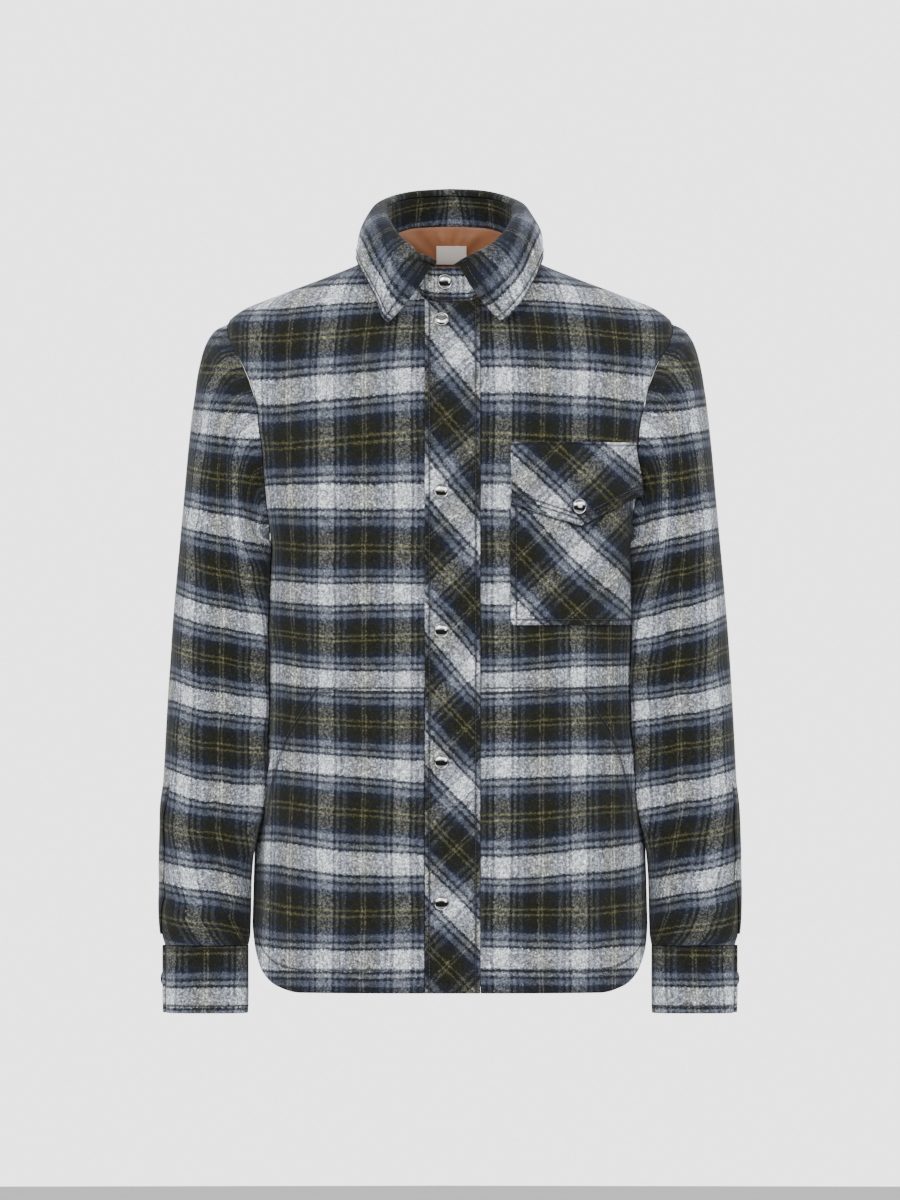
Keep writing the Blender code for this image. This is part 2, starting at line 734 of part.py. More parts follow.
def sleeve_point(row, turn):
    """Point of a sleeve section: turn 0 is its outer point, a quarter turn its front."""
    outer = Vector((row.outer_x, 0.0, row.outer_z))
    inner = Vector((row.inner_x, 0.0, row.inner_z))
    along = power(math.cos(turn), 2.0 / ROUNDNESS)
    ahead = power(math.sin(turn), 2.0 / ROUNDNESS)
    point = 0.5 * (outer + inner) + 0.5 * (outer - inner) * along
    point.y = -row.forward - row.half_depth * ahead
    return point


def sleeve_grid():
    """Rings of points of the wearer's left sleeve, from the armhole to the cuff."""
    edge = sleeve_angles()
    rings = []
    for row in SLEEVE:
        ring = []
        for armhole_point, turn in edge:
            away = armhole_point - sleeve_point(SLEEVE[0], turn)
            ring.append(sleeve_point(row, turn) + away * row.blend)
        rings.append(ring)
    for point in rings[0]:
        point.x += SEAM_GAP + 0.1
    return rings


def sleeve_axis(side):
    """A point inside the sleeve at a height, for telling its outside from its inside."""

    def at_height(at):
        z = at.z / MM
        x = CUFF_CENTRE_X if z < -450.0 else 228.0
        return Vector((side * x * MM, -0.01, at.z))

    return at_height


def make_sleeves(wool):
    """Both sleeves, from one set of rings."""
    rings = sleeve_grid()
    for name, side in (("sleeve_left", 1), ("sleeve_right", -1)):
        cloth(name, mirrored(rings, side), wool, BODY_WALL, closed=True, centre=sleeve_axis(side))


def sleeve_surface(station, degrees, lift):
    """Point over the lower sleeve at a station, moved out from its surface."""
    row = SLEEVE[station]
    near = math.radians(1.5)
    turn = math.radians(degrees)
    point = sleeve_point(row, turn)
    around = sleeve_point(row, turn + near) - sleeve_point(row, turn - near)
    downward = sleeve_point(SLEEVE[station + 1], turn) - sleeve_point(SLEEVE[station - 1], turn)
    return point + around.cross(downward).normalized() * lift


def make_vents(wool):
    """The strips over the sleeve vents, on the outer side above the cuffs."""
    points = []
    for row in VENT:
        turns = [row.behind + (row.ahead - row.behind) * i / 6 for i in range(7)]
        points.append([sleeve_surface(row.station, turn, POCKET_LIFT) for turn in turns])
    for name, side in (("vent_left", 1), ("vent_right", -1)):
        mesh = grid_mesh(name, mirrored(points, side))
        face_outward(mesh, lambda at, side=side: at - sleeve_axis(side)(at))
        obj = add_object(name, mesh, wool)
        thicken(obj, BODY_WALL, 1.0)
        mesh.shade_smooth()


def cuff_lift(degrees):
    """How far the cuff's outer end stands off the end that lies under it."""
    share = ease((degrees - CUFF_RISE_START) / (CUFF_RISE_END - CUFF_RISE_START))
    return (BAND_WALL + 2.0 * SEAM_GAP) * share


def cuff_point(degrees, z, lift):
    """Point of the cuff of the wearer's left sleeve: 0 degrees is the outer side."""
    turn = math.radians(degrees)
    half_width = read(CUFF, "half_width", z) + lift
    half_depth = read(CUFF, "half_depth", z) + lift
    x = CUFF_CENTRE_X + half_width * power(math.cos(turn), 2.0 / ROUNDNESS)
    y = -CUFF_FORWARD - half_depth * power(math.sin(turn), 2.0 / ROUNDNESS)
    return Vector((x, y, z))


def make_cuffs(wool):
    """The cuffs: straight bands whose ends overlap on the outer side."""
    turns = [CUFF_START + (CUFF_END - CUFF_START) * i / CUFF_COLUMNS for i in range(CUFF_COLUMNS + 1)]
    points = [[cuff_point(turn, row.z, cuff_lift(turn)) for turn in turns] for row in CUFF]
    for name, side in (("cuff_left", 1), ("cuff_right", -1)):
        cloth(name, mirrored(points, side), wool, BAND_WALL, centre=sleeve_axis(side))


def snap_mesh():
    """A domed cap with a plain rim, as a profile turned about Z."""
    profile = (
        (0.0, SNAP_HEIGHT),
        (0.45 * SNAP_RADIUS, 0.93 * SNAP_HEIGHT),
        (0.8 * SNAP_RADIUS, 0.6 * SNAP_HEIGHT),
        (SNAP_RADIUS, 0.32 * SNAP_HEIGHT),
        (SNAP_RADIUS, 0.0),
        (0.0, 0.0),
    )
    made = bmesh.new()
    verts = [made.verts.new((x * MM, 0.0, z * MM)) for x, z in profile]
    for a, b in zip(verts, verts[1:]):
        made.edges.new((a, b))
    spun = made.verts[:] + made.edges[:]
    axis = (0.0, 0.0, 1.0)
    bmesh.ops.spin(
        made, geom=spun, cent=(0.0, 0.0, 0.0), axis=axis, angle=math.tau,
        steps=SNAP_SEGMENTS, use_merge=True, use_duplicate=False,
    )
    bmesh.ops.remove_doubles(made, verts=made.verts, dist=1e-6)
    bmesh.ops.recalc_face_normals(made, faces=made.faces)
    mesh = bpy.data.meshes.new("snap")
    made.to_mesh(mesh)
    made.free()
    return mesh


def add_snap(name, mesh, seat, outward, metal):
    """One snap, with its flat back on the cloth."""
    obj = add_object(name, mesh.copy(), metal)
    turn = outward.to_track_quat("Z", "Y").to_matrix().to_4x4()
    obj.matrix_world = Matrix.Translation(seat * MM) @ turn
    obj.data.name = name


def make_snaps(metal):
    """All the snaps: stand, band, flap and cuffs."""
    mesh = snap_mesh()
    for number, z in enumerate(SNAP_LEVELS, start=1):
        angle = angle_at(SNAP_X, z)
        seat = form_point(angle, z, 2.0 * SEAM_GAP + BAND_WALL + 0.1)
        add_snap(f"snap_placket_{number}", mesh, seat, form_normal(angle, z), metal)
    x, z = STAND_SNAP
    angle, _ = place_at(x, NECK_SIDE)
    seam_z = read(FRONT_NECK, "z", turn_of(angle))
    rise = (z - seam_z) / (STAND_FRONT_TOP[1] - seam_z)
    seat = stand_point(angle, rise, STAND_LIFT + 4.0 * SEAM_GAP)
    ahead = Vector((0.0, -1.0, 0.0))
    add_snap("snap_stand", mesh, seat, ahead, metal)
    x, z = FLAP_SNAP
    angle = angle_at(x, z)
    seat = form_point(angle, z, flap_lift(z) + BAND_WALL + 2.0 * SEAM_GAP)
    add_snap("snap_flap", mesh, seat, form_normal(angle, z), metal)
    degrees, z = CUFF_SNAP
    for name, side in (("snap_cuff_left", 1.0), ("snap_cuff_right", -1.0)):
        seat = cuff_point(degrees, z, cuff_lift(degrees) + 0.5 * SEAM_GAP)
        around = cuff_point(degrees + 3.0, z, 0.0) - cuff_point(degrees - 3.0, z, 0.0)
        outward = around.cross(Vector((0.0, 0.0, 1.0))).normalized()
        if outward.dot(seat - Vector((CUFF_CENTRE_X, -CUFF_FORWARD, z))) < 0.0:
            outward.negate()
        seat.x *= side
        outward.x *= side
        add_snap(name, mesh, seat, outward, metal)
    bpy.data.meshes.remove(mesh)


def build():
    """Makes every piece."""
    clear_scene()
    bpy.context.scene.collection.children.link(bpy.data.collections.new(NAME))
    wool = material("wool_plaid", COLOURS["wool"], 0.95)
    lining = material("lining", COLOURS["lining"], 0.5)
    label = material("label", COLOURS["label"], 0.8)
    metal = material("snap_metal", COLOURS["metal"], 0.2, 1.0)
    make_fronts(wool)
    make_back(wool)
    make_lining(lining, label)
    make_band(wool)
    make_hand_pockets(wool)
    make_chest_pocket(wool)
    make_stand(wool)
    make_fall(wool)
    make_sleeves(wool)
    make_vents(wool)
    make_cuffs(wool)
    make_snaps(metal)


build()
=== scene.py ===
"""A plaid brushed-wool shacket, hollow as it is worn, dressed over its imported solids.

Lengths are in millimetres and become metres when a mesh is made. +Z is up, the front faces -Y,
and +X is the wearer's left.
"""
import logging
import math
from bisect import bisect_right
from collections.abc import Callable, Sequence
from dataclasses import dataclass
from enum import Enum

import bmesh
import bpy
from mathutils import Matrix, Vector


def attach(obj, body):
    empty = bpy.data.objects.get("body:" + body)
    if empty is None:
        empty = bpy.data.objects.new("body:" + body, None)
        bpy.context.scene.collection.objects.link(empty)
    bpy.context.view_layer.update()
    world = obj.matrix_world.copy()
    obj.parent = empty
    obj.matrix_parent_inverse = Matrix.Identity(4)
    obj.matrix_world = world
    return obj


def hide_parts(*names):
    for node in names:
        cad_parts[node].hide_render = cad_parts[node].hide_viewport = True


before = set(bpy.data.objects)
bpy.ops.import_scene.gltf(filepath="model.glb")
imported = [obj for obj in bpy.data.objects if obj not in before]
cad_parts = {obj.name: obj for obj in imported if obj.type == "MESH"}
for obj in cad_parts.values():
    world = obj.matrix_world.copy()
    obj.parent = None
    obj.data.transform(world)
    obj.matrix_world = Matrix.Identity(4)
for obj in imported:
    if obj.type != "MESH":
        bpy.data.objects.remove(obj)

Material = bpy.types.Material
Mesh = bpy.types.Mesh
Node = bpy.types.Node
Socket = bpy.types.NodeSocket
Tone = tuple[int, int, int]

LOG = logging.getLogger("shacket")
MM = 0.001
BODY = "root"

BODY_WALL = 2.0
BAND_WALL = 3.0
COLLAR_WALL = 4.0
VENT_WALL = 1.5
LINING_WALL = 0.6
LABEL_WALL = 0.6
SEAM_GAP = 0.3
ROUNDNESS = 2.8
INWARD = -1.0
OUTWARD = 1.0
BIAS = math.sqrt(0.5)
FAR = 50.0

HEM_SIDE = -657.0
CENTRE_HEM = -728.0
CHEST = -320.0
UNDERARM = -290.0
SHOULDER_TIP = -62.0
NECK_SIDE = 8.0
BAND_FREE_EDGE = -25.0
BAND_SEAM = 30.0
UNDERLAP_EDGE = 24.0


class Slot(Enum):
    """Names of the material slots."""

    WOOL = "wool_plaid"
    BIAS = "wool_plaid_bias"
    LINING = "lining"
    LABEL = "label"
    METAL = "snap_metal"


class Held(Enum):
    """How a sheet of cloth is held."""

    HUNG = "hung"
    FOLDED = "folded"


class Side(Enum):
    """The wearer's sides, as the sign of X."""

    LEFT = 1
    RIGHT = -1

    @property
    def word(self) -> str:
        """The side's name in piece names."""
        return self.name.lower()

    def own(self, at: Vector) -> Vector:
        """A point or direction of the wearer's left, put on this side."""
        return Vector((self.value * at.x, at.y, at.z))

    def turned(self, angle: float) -> float:
        """Degrees round the body on the wearer's left, put on this side."""
        return angle if self is Side.LEFT else 180.0 - angle


class Curve:
    """A smooth line through charted values, without overshoot."""

    def __init__(self, stations: Sequence[float], values: Sequence[float]) -> None:
        """Keeps the values and works out their tangents."""
        self.stations = list(stations)
        self.values = list(values)
        self.steps = [b - a for a, b in zip(self.stations, self.stations[1:])]
        slopes = [(b - a) / step for a, b, step in zip(self.values, self.values[1:], self.steps)]
        inner = [
            0.0 if a * b <= 0.0 else 2.0 * a * b / (a + b) for a, b in zip(slopes, slopes[1:])
        ]
        self.tangents = [slopes[0], *inner, slopes[-1]]

    def __call__(self, at: float) -> float:
        """Value of the line at a place.

        Args:
            at: The place; beyond the ends the end values hold.

        Returns:
            The value there.
        """
        if at <= self.stations[0]:
            return self.values[0]
        if at >= self.stations[-1]:
            return self.values[-1]
        here = bisect_right(self.stations, at) - 1
        step = self.steps[here]
        t = (at - self.stations[here]) / step
        u = 1.0 - t
        return (
            (1.0 + 2.0 * t) * u * u * self.values[here]
            + t * t * (3.0 - 2.0 * t) * self.values[here + 1]
            + t * u * u * step * self.tangents[here]
            - t * t * u * step * self.tangents[here + 1]
        )


def curves(rows: Sequence[Sequence[float]]) -> list[Curve]:
    """One curve for each column of a table after its first, which holds the stations."""
    stations = [row[0] for row in rows]
    return [Curve(stations, [row[i] for row in rows]) for i in range(1, len(rows[0]))]


def ease(t: float) -> float:
    """A soft step from 0 to 1."""
    t = min(1.0, max(0.0, t))
    return t * t * (3.0 - 2.0 * t)


def power(value: float, exponent: float) -> float:
    """A power that keeps the sign."""
    return math.copysign(abs(value) ** exponent, value)


def spread(start: float, end: float, count: int) -> list[float]:
    """Evenly spaced values from start to end, count steps apart."""
    return [start + (end - start) * i / count for i in range(count + 1)]


# z, half width, front depth, back depth
HALF_WIDTH, FRONT_DEPTH, BACK_DEPTH = curves((
    (-728, 195.5, 122, 118), (-640, 193.5, 126, 122), (-588, 192, 128, 124), (-540, 190, 129, 125),
    (-480, 187, 130, 126), (-400, 184.5, 130, 126), (-290, 184.5, 130, 127), (-240, 197, 128, 127),
    (-200, 206, 125, 126), (-154, 215, 118, 123), (-110, 221, 108, 117), (-80, 223, 98, 110),
    (-62, 222, 89, 104), (-50, 210, 83, 99), (-33, 170, 75, 90), (-16, 125, 70, 80), (0, 87, 67, 71),
    (8, 77, 66, 67), (20, 73, 65, 64), (36, 71, 64, 61), (60, 70, 63, 60),
))
# z, degrees from the side to the armhole's front edge and to its back edge
ARMHOLE_FRONT, ARMHOLE_BACK = curves((
    (-290, 0, 0), (-289, 4, 4), (-286, 8, 8), (-280, 12, 12), (-270, 16, 15), (-250, 21, 20), (-225, 26, 24),
    (-190, 31, 28), (-154, 33, 30), (-124, 30, 28), (-104, 25, 24), (-86, 17, 17), (-76, 11, 11),
    (-70, 6.5, 6.5), (-62, 0, 0),
))
(HEM,) = curves((
    (0, HEM_SIDE), (7, -670), (14, -688), (23, -708), (35, -722), (48, CENTRE_HEM), (90, CENTRE_HEM),
))
(FRONT_NECK,) = curves((
    (0, NECK_SIDE), (33, 4), (55, -3), (73, -13), (84, -30), (86, -37), (87.5, -40), (90, -41),
))
(BACK_NECK,) = curves(((0, NECK_SIDE), (15, 15), (32, 25), (50, 32), (68, 35.5), (90, 37)))
(LEAF_WEFT,) = curves(((0, -0.15), (12, 0), (22, 0.115), (40, 0.26), (62, 0.36), (85, 0.42)))

# Plaid, in setts: whole numbers are the middles of the white bands
(BODY_WEFT,) = curves((
    (-790, 8), (-696, 7), (-601, 6), (-505, 5), (-419, 4), (-332, 3), (-235, 2), (-120, 1), (-68, 0.5),
    (-31, 0), (60, -1.05),
))
(SIDE_DRIFT,) = curves((
    (-740, -3), (-692, -4), (-592, -9), (-500, -5), (-411, -8), (-331, -1), (-235, 0), (-129, 9), (-60, 9),
))
(BAND_WEFT,) = curves((
    (-760, 5.1), (-616, 4), (-481, 3), (-357, 2), (-214, 1), (-56, 0), (45, -0.68),
))
(BAND_SLOPE,) = curves(((-728, 1.05), (-450, 1.08), (-200, 1.18), (-40, 1.25)))
(OUTER_WEFT,) = curves((
    (-700, 7), (-608, 6), (-513, 5), (-428, 4), (-343, 3), (-253, 2), (-154, 1), (-102, 0.5), (-55, 0),
))
(INNER_WEFT,) = curves((
    (-712, 7), (-628, 6), (-540, 5), (-450, 4), (-369, 3), (-278, 2), (-173, 1), (-122, 0.5), (-75, 0),
))
WARP_SETT = 78.0
WEFT_SETT = 92.0


@dataclass(frozen=True)
class Spot:
    """One point of a sheet of cloth.

    Attributes:
        at: Place in millimetres.
        warp: Plaid across the cloth, in setts.
        weft: Plaid along the cloth, in setts.
        seams: Signed distances in millimetres to up to three lines where shade is painted: sewn lines, and on
            the chest pocket the flap's lower edge.
    """

    at: Vector
    warp: float
    weft: float
    seams: tuple[float, float, float] = (FAR, FAR, FAR)


@dataclass(frozen=True)
class Crease:
    """A soft trough or ridge between two places of the unrolled cloth.

    Attributes:
        start: Distance across and height of one end, in millimetres.
        end: The same for the other end.
        depth: Height of the ridge, or below 0 the depth of the trough.
        width: Half width over which it fades.
        bow: How far its middle bends aside.
    """

    start: tuple[float, float]
    end: tuple[float, float]
    depth: float
    width: float
    bow: float = 0.0

    def lift(self, across: float, height: float) -> float:
        """How far the crease moves the cloth outwards.

        Args:
            across: Distance across the unrolled cloth.
            height: Height on it.

        Returns:
            Millimetres outwards.
        """
        ax, az = self.start
        dx = self.end[0] - ax
        dz = self.end[1] - az
        length = math.hypot(dx, dz)
        px = across - ax
        pz = height - az
        along = (px * dx + pz * dz) / (length * length)
        if not -0.15 < along < 1.15:
            return 0.0
        beside = (px * dz - pz * dx) / length - self.bow * 4.0 * along * (1.0 - along)
        ratio = beside / self.width
        if abs(ratio) > 2.6:
            return 0.0
        fade = ease((along + 0.15) / 0.5) * ease((1.15 - along) / 0.5)
        return self.depth * fade * math.exp(-ratio * ratio)


def creased(table: Sequence[Crease], across: float, height: float) -> float:
    """Sum of all creases of a table at a place of the unrolled cloth."""
    return sum(crease.lift(across, height) for crease in table)


def creases(rows: Sequence[Sequence[float]]) -> tuple[Crease, ...]:
    """Creases from a table: both ends' places across and heights, then depth, width and bow."""
    return tuple(Crease((ax, az), (bx, bz), *rest) for ax, az, bx, bz, *rest in rows)


# Both tables' creases act between these distances from the centre front, the one outside them
FRONT_END, BACK_END = 225.0, 290.0
# Distance round the body from the centre front, towards the wearer's left, and height
FRONT_CREASES = creases((
    (195, -95, 96, -158, -3, 13, 10), (200, -128, 120, -205, 2.2, 12, 8),
    (190, -236, 235, -330, -3.4, 14, -7), (160, -300, 222, -392, 2.2, 15, 6),
    (64, -402, 176, -448, -1.8, 16, 6), (150, -470, 232, -520, 2.4, 18, -8),
    (92, -520, 104, -664, 2.6, 24, 10), (158, -560, 144, -700, -2.6, 19, -6),
    (212, -590, 206, -690, 2.4, 16, 0), (48, -90, 110, -66, -1.8, 12, 0),
    (-190, -90, -108, -146, -3.2, 14, -9), (-205, -140, -138, -214, 2.6, 12, -6),
    (-183, -214, -228, -322, -3.6, 15, 8), (-60, -172, -150, -196, 1.8, 14, 5),
    (-70, -250, -178, -296, -2.2, 17, -8), (-150, -330, -236, -402, 2.4, 16, 5),
    (-58, -366, -160, -390, 1.9, 15, -4), (-88, -470, -100, -610, -2.4, 20, -9),
    (-138, -520, -152, -690, 2.8, 22, 7), (-205, -500, -214, -668, -2.6, 17, 5),
    (-48, -86, -96, -62, -1.6, 11, 0),
))
BACK_CREASES = creases((
    (330, -108, 420, -170, -3, 15, 9), (345, -196, 402, -296, 2.6, 17, 6),
    (300, -262, 352, -402, -3.4, 16, -9), (408, -420, 396, -640, 3, 26, 9),
    (330, -480, 322, -690, -3, 20, -8), (462, -96, 478, -220, 2.2, 20, 6),
    (470, -520, 482, -712, -2.8, 22, 6), (-326, -120, -412, -160, -2.6, 14, -8),
    (-340, -206, -416, -318, 2.8, 18, -6), (-296, -250, -344, -368, -3.2, 15, 8),
    (-420, -380, -430, -560, -2.6, 20, 7), (-366, -470, -356, -700, 3, 24, -9),
))
# Degrees round the sleeve from its outer line, times 1.15 for millimetres, and station times 34
SLEEVE_CREASES = creases((
    (20, -40, 118, -92, -2.6, 13, 8), (60, -70, 168, -150, 3, 16, 9), (14, -120, 96, -190, -2.4, 15, -8),
    (96, -196, 190, -262, -3.6, 15, 7), (40, -238, 150, -300, 3.2, 16, -9), (100, -306, 200, -340, -4, 13, 6),
    (16, -332, 112, -372, -3.2, 14, 6), (84, -372, 184, -398, 3.6, 13, -5), (20, -420, 132, -452, 3.4, 15, 7),
    (90, -450, 196, -486, -3.4, 13, -5), (10, -486, 110, -512, -3, 12, 5), (60, -520, 170, -544, 3.2, 12, 5),
    (-30, -60, -120, -126, -2.8, 15, -8), (-50, -160, -160, -226, 3.2, 17, -8),
    (-24, -232, -120, -290, -3.4, 15, 7), (-80, -300, -186, -338, -3.8, 14, 5),
    (-30, -346, -130, -384, 3.4, 15, -6), (-60, -410, -170, -448, -3.2, 13, -6),
    (-20, -462, -124, -500, 3, 13, 6),
))


class Form:
    """The body that the panels hang on: a rounded tube that closes over the shoulders."""

    def __init__(self) -> None:
        """Measures the distance round the body at the chest, in steps of an eighth of a degree."""
        self.arc = [0.0]
        before = self.shape(90.0, CHEST)
        self.steps_per_degree = 8
        for i in range(1, 180 * self.steps_per_degree + 1):
            here = self.shape(90.0 - i / self.steps_per_degree, CHEST)
            self.arc.append(self.arc[-1] + (here - before).length)
            before = here

    def shape(self, angle: float, z: float) -> Vector:
        """Point of the bare form: 0 degrees is the wearer's left side, 90 the front."""
        turn = math.radians(angle)
        across = power(math.cos(turn), 2.0 / ROUNDNESS)
        ahead = power(math.sin(turn), 2.0 / ROUNDNESS)
        depth = (FRONT_DEPTH if ahead > 0.0 else BACK_DEPTH)(z)
        return Vector((HALF_WIDTH(z) * across, -depth * ahead, z))

    def normal(self, angle: float, z: float) -> Vector:
        """Outward direction of the bare form."""
        around = self.shape(angle + 1.5, z) - self.shape(angle - 1.5, z)
        upward = self.shape(angle, z + 1.5) - self.shape(angle, z - 1.5)
        return upward.cross(around).normalized()

    def across(self, angle: float) -> float:
        """Distance round the body from the centre front, towards the wearer's left above 0."""
        away = (90.0 - angle + 180.0) % 360.0 - 180.0
        place = abs(away) * self.steps_per_degree
        low = min(int(place), len(self.arc) - 2)
        found = self.arc[low] + (self.arc[low + 1] - self.arc[low]) * (place - low)
        return math.copysign(found, away)

    def angle_across(self, across: float) -> float:
        """Angle at a distance round the body from the centre front."""
        size = min(abs(across), self.arc[-1] - 1e-6)
        low = max(bisect_right(self.arc, size) - 1, 0)
        share = (size - self.arc[low]) / (self.arc[low + 1] - self.arc[low])
        return 90.0 - math.copysign((low + share) / self.steps_per_degree, across)

    def drape(self, angle: float, z: float) -> float:
        """How far the creases move the cloth out. They fade at the neck, shoulder and armhole."""
        across = self.across(angle)
        moved = 0.0
        if abs(across) < BACK_END:
            moved += creased(FRONT_CREASES, across, z)
        if abs(across) > FRONT_END:
            moved += creased(BACK_CREASES, across, z)
        return moved * ease((-20.0 - z) / 55.0) * ease((abs(across) - 26.0) / 26.0)

    def point(self, angle: float, z: float, lift: float = 0.0) -> Vector:
        """Point of the draped cloth, moved out by lift."""
        return self.shape(angle, z) + self.normal(angle, z) * (lift + self.drape(angle, z))

    def angle_at(self, x: float, z: float) -> float:
        """Angle of the front point with this x."""
        ratio = min(1.0, abs(x) / HALF_WIDTH(z))
        turn = math.degrees(math.acos(ratio ** (ROUNDNESS / 2.0)))
        return turn if x >= 0.0 else 180.0 - turn

    def place_at(self, x: float, side_z: float) -> tuple[float, float]:
        """Angle and height where a row of the front reaches this x."""
        angle = 90.0
        for _ in range(6):
            z = row_height(side_z, turn_of(angle), FRONT_NECK)
            angle = self.angle_at(x, z)
        return angle, row_height(side_z, turn_of(angle), FRONT_NECK)


def turn_of(angle: float) -> float:
    """Degrees from the nearer side seam."""
    angle = angle % 180.0
    return min(angle, 180.0 - angle)


def row_height(side_z: float, turn: float, neck: Curve) -> float:
    """Height of a row away from the side: it bends to the hem below and to the neck above."""
    hem_weight = 1.0 - ease((side_z - HEM_SIDE) / 160.0)
    neck_weight = ease((side_z + 160.0) / (NECK_SIDE + 160.0))
    return side_z + hem_weight * (HEM(turn) - HEM_SIDE) + neck_weight * (neck(turn) - NECK_SIDE)


def side_levels(body: int, armhole: int, shoulder: int) -> list[float]:
    """Heights of a panel's rows at its side edge."""
    middle = 0.5 * (UNDERARM + SHOULDER_TIP)
    half = 0.5 * (SHOULDER_TIP - UNDERARM)
    along = [middle - half * math.cos(math.pi * i / armhole) for i in range(armhole + 1)]
    return (
        spread(HEM_SIDE, UNDERARM, body)[:-1] + along + spread(SHOULDER_TIP, NECK_SIDE, shoulder)[1:]
    )


LEVELS = side_levels(84, 56, 18)
# The hand pockets' top, seven elevenths of the way up from the hem to the underarm
POCKET_TOP = spread(HEM_SIDE, UNDERARM, 11)[7]
FORM = Form()


def body_weft(x: float, z: float) -> float:
    """Plaid along the body's panels, in setts."""
    share = min(1.0, abs(x) / 170.0) ** 2
    return BODY_WEFT(z + SIDE_DRIFT(z) * share)


def measured(rows: list[list[Vector]], start: float) -> list[list[float]]:
    """Distance along each row from its last point, whose own distance is start."""
    found = []
    for row in rows:
        line = [start]
        for near, far in zip(row[::-1], row[-2::-1]):
            line.append(line[-1] + (far - near).length)
        found.append(line[::-1])
    return found


@dataclass(frozen=True)
class Cut:
    """What a sheet of cloth was cut to before it was hung, and its wall.

    Attributes:
        width: Flat width in metres.
        length: Flat length in metres.
        rests_on: What it hangs from or lies on, on the wearer's left.
        area: Flat area in square metres, where the cut isn't a rectangle.
        held: How it is held.
        thickness: Of the wall.
        grows: To which side of the sheet's points the wall grows.
        rim: Roundness of its edges.
    """

    width: float
    length: float
    rests_on: tuple[str, ...]
    area: float | None = None
    held: Held = Held.HUNG
    thickness: float = BODY_WALL
    grows: float = INWARD
    rim: float = 0.5


def mesh_of(made: bmesh.types.BMesh, name: str) -> Mesh:
    """Turns a built form into a mesh and frees it."""
    mesh = bpy.data.meshes.new(name)
    made.to_mesh(mesh)
    made.free()
    return mesh


def sheet_mesh(name: str, rows: list[list[Spot]], outside: Callable[[Vector], Vector]) -> Mesh:
    """Bends a flat grid into one sheet of cloth.

    Args:
        name: Name of the mesh.
        rows: Its points, row by row. A tube's last column repeats its first.
        outside: Gives the outward direction at a point in metres.

    Returns:
        The mesh, with its plaid in a UV map and its seam distances in an attribute.
    """
    columns = len(rows[0])
    made = bmesh.new()
    bmesh.ops.create_grid(made, x_segments=columns - 1, y_segments=len(rows) - 1, size=1.0)
    plaid = made.loops.layers.uv.new("plaid")
    seams = made.verts.layers.float_vector.new("seams")
    spots = {}
    for vert in made.verts:
        i = round((vert.co.y + 1.0) * 0.5 * (len(rows) - 1))
        j = round((vert.co.x + 1.0) * 0.5 * (columns - 1))
        spots[vert] = spot = rows[i][j]
        vert.co = spot.at * MM
        vert[seams] = Vector(spot.seams)
    for face in made.faces:
        for loop in face.loops:
            spot = spots[loop.vert]
            loop[plaid].uv = (spot.warp, spot.weft)
    bmesh.ops.remove_doubles(made, verts=made.verts, dist=2e-6)
    made.normal_update()
    votes = sum(face.normal.dot(outside(face.calc_center_median())) for face in made.faces)
    if votes < 0.0:
        bmesh.ops.reverse_faces(made, faces=made.faces[:])
    mesh = mesh_of(made, name)
    mesh.shade_smooth()
    return mesh


def puff(mesh: Mesh, lift: Callable[[Vector], float]) -> None:
    """Moves a mesh's points along their normals."""
    made = bmesh.new()
    made.from_mesh(mesh)
    made.normal_update()
    moves = [(vert, vert.normal * (lift(vert.co) * MM)) for vert in made.verts]
    for vert, move in moves:
        vert.co += move
    made.to_mesh(mesh)
    made.free()


def add_piece(name: str, mesh: Mesh, finish: Material, slot: Slot, *nodes: str) -> bpy.types.Object:
    """Puts a mesh in the scene as one piece of the garment."""
    obj = bpy.data.objects.new(name, mesh)
    mesh.materials.append(finish)
    bpy.context.scene.collection.objects.link(obj)
    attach(obj, BODY)
    if nodes:
        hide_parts(*nodes)
    LOG.info("%s: %d faces", name, len(mesh.polygons))
    return obj


def lay(
    name: str, node: str, rows: list[list[Spot]], finish: Material, slot: Slot, cut: Cut,
    side: Side = Side.LEFT, on_arm: bool = False, pull: Callable[[Vector], float] | None = None,
) -> None:
    """Makes one sheet of cloth with its wall.

    Args:
        name: The piece's name.
        node: The node that it replaces.
        rows: Its points.
        finish: Its material.
        slot: Handed on to add_piece, which doesn't use it.
        cut: Its flat cut and its wall.
        side: The wearer's side.
        on_arm: Whether it goes round an arm, not the body.
        pull: How far it is pulled out of its rows' points, in millimetres.
    """
    mesh = sheet_mesh(node, rows, from_axis(side.value if on_arm else 0))
    if pull:
        puff(mesh, pull)
    obj = add_piece(name, mesh, finish, slot, node)
    solid = obj.modifiers.new("wall", "SOLIDIFY")
    solid.thickness = cut.thickness * MM
    solid.offset = cut.grows
    solid.use_even_offset = False
    solid.use_rim = True
    edge = obj.modifiers.new("rim", "BEVEL")
    edge.width = cut.rim * MM
    edge.segments = 2
    edge.limit_method = "ANGLE"
    edge.angle_limit = math.radians(62.0)
    edge.use_clamp_overlap = True
    rests_on = tuple(part.replace("left", side.word) for part in cut.rests_on)


def from_axis(side: int = 0) -> Callable[[Vector], Vector]:
    """Outward directions from the body's axis (0) or from inside a sleeve (1 left, -1 right)."""

    def outside(at: Vector) -> Vector:
        """Direction from the axis at the point's height."""
        if side == 0:
            return at - Vector((0.0, 0.0, at.z))
        x = 0.2425 if at.z < -0.45 else 0.228
        return at - Vector((side * x, -0.01, at.z))

    return outside


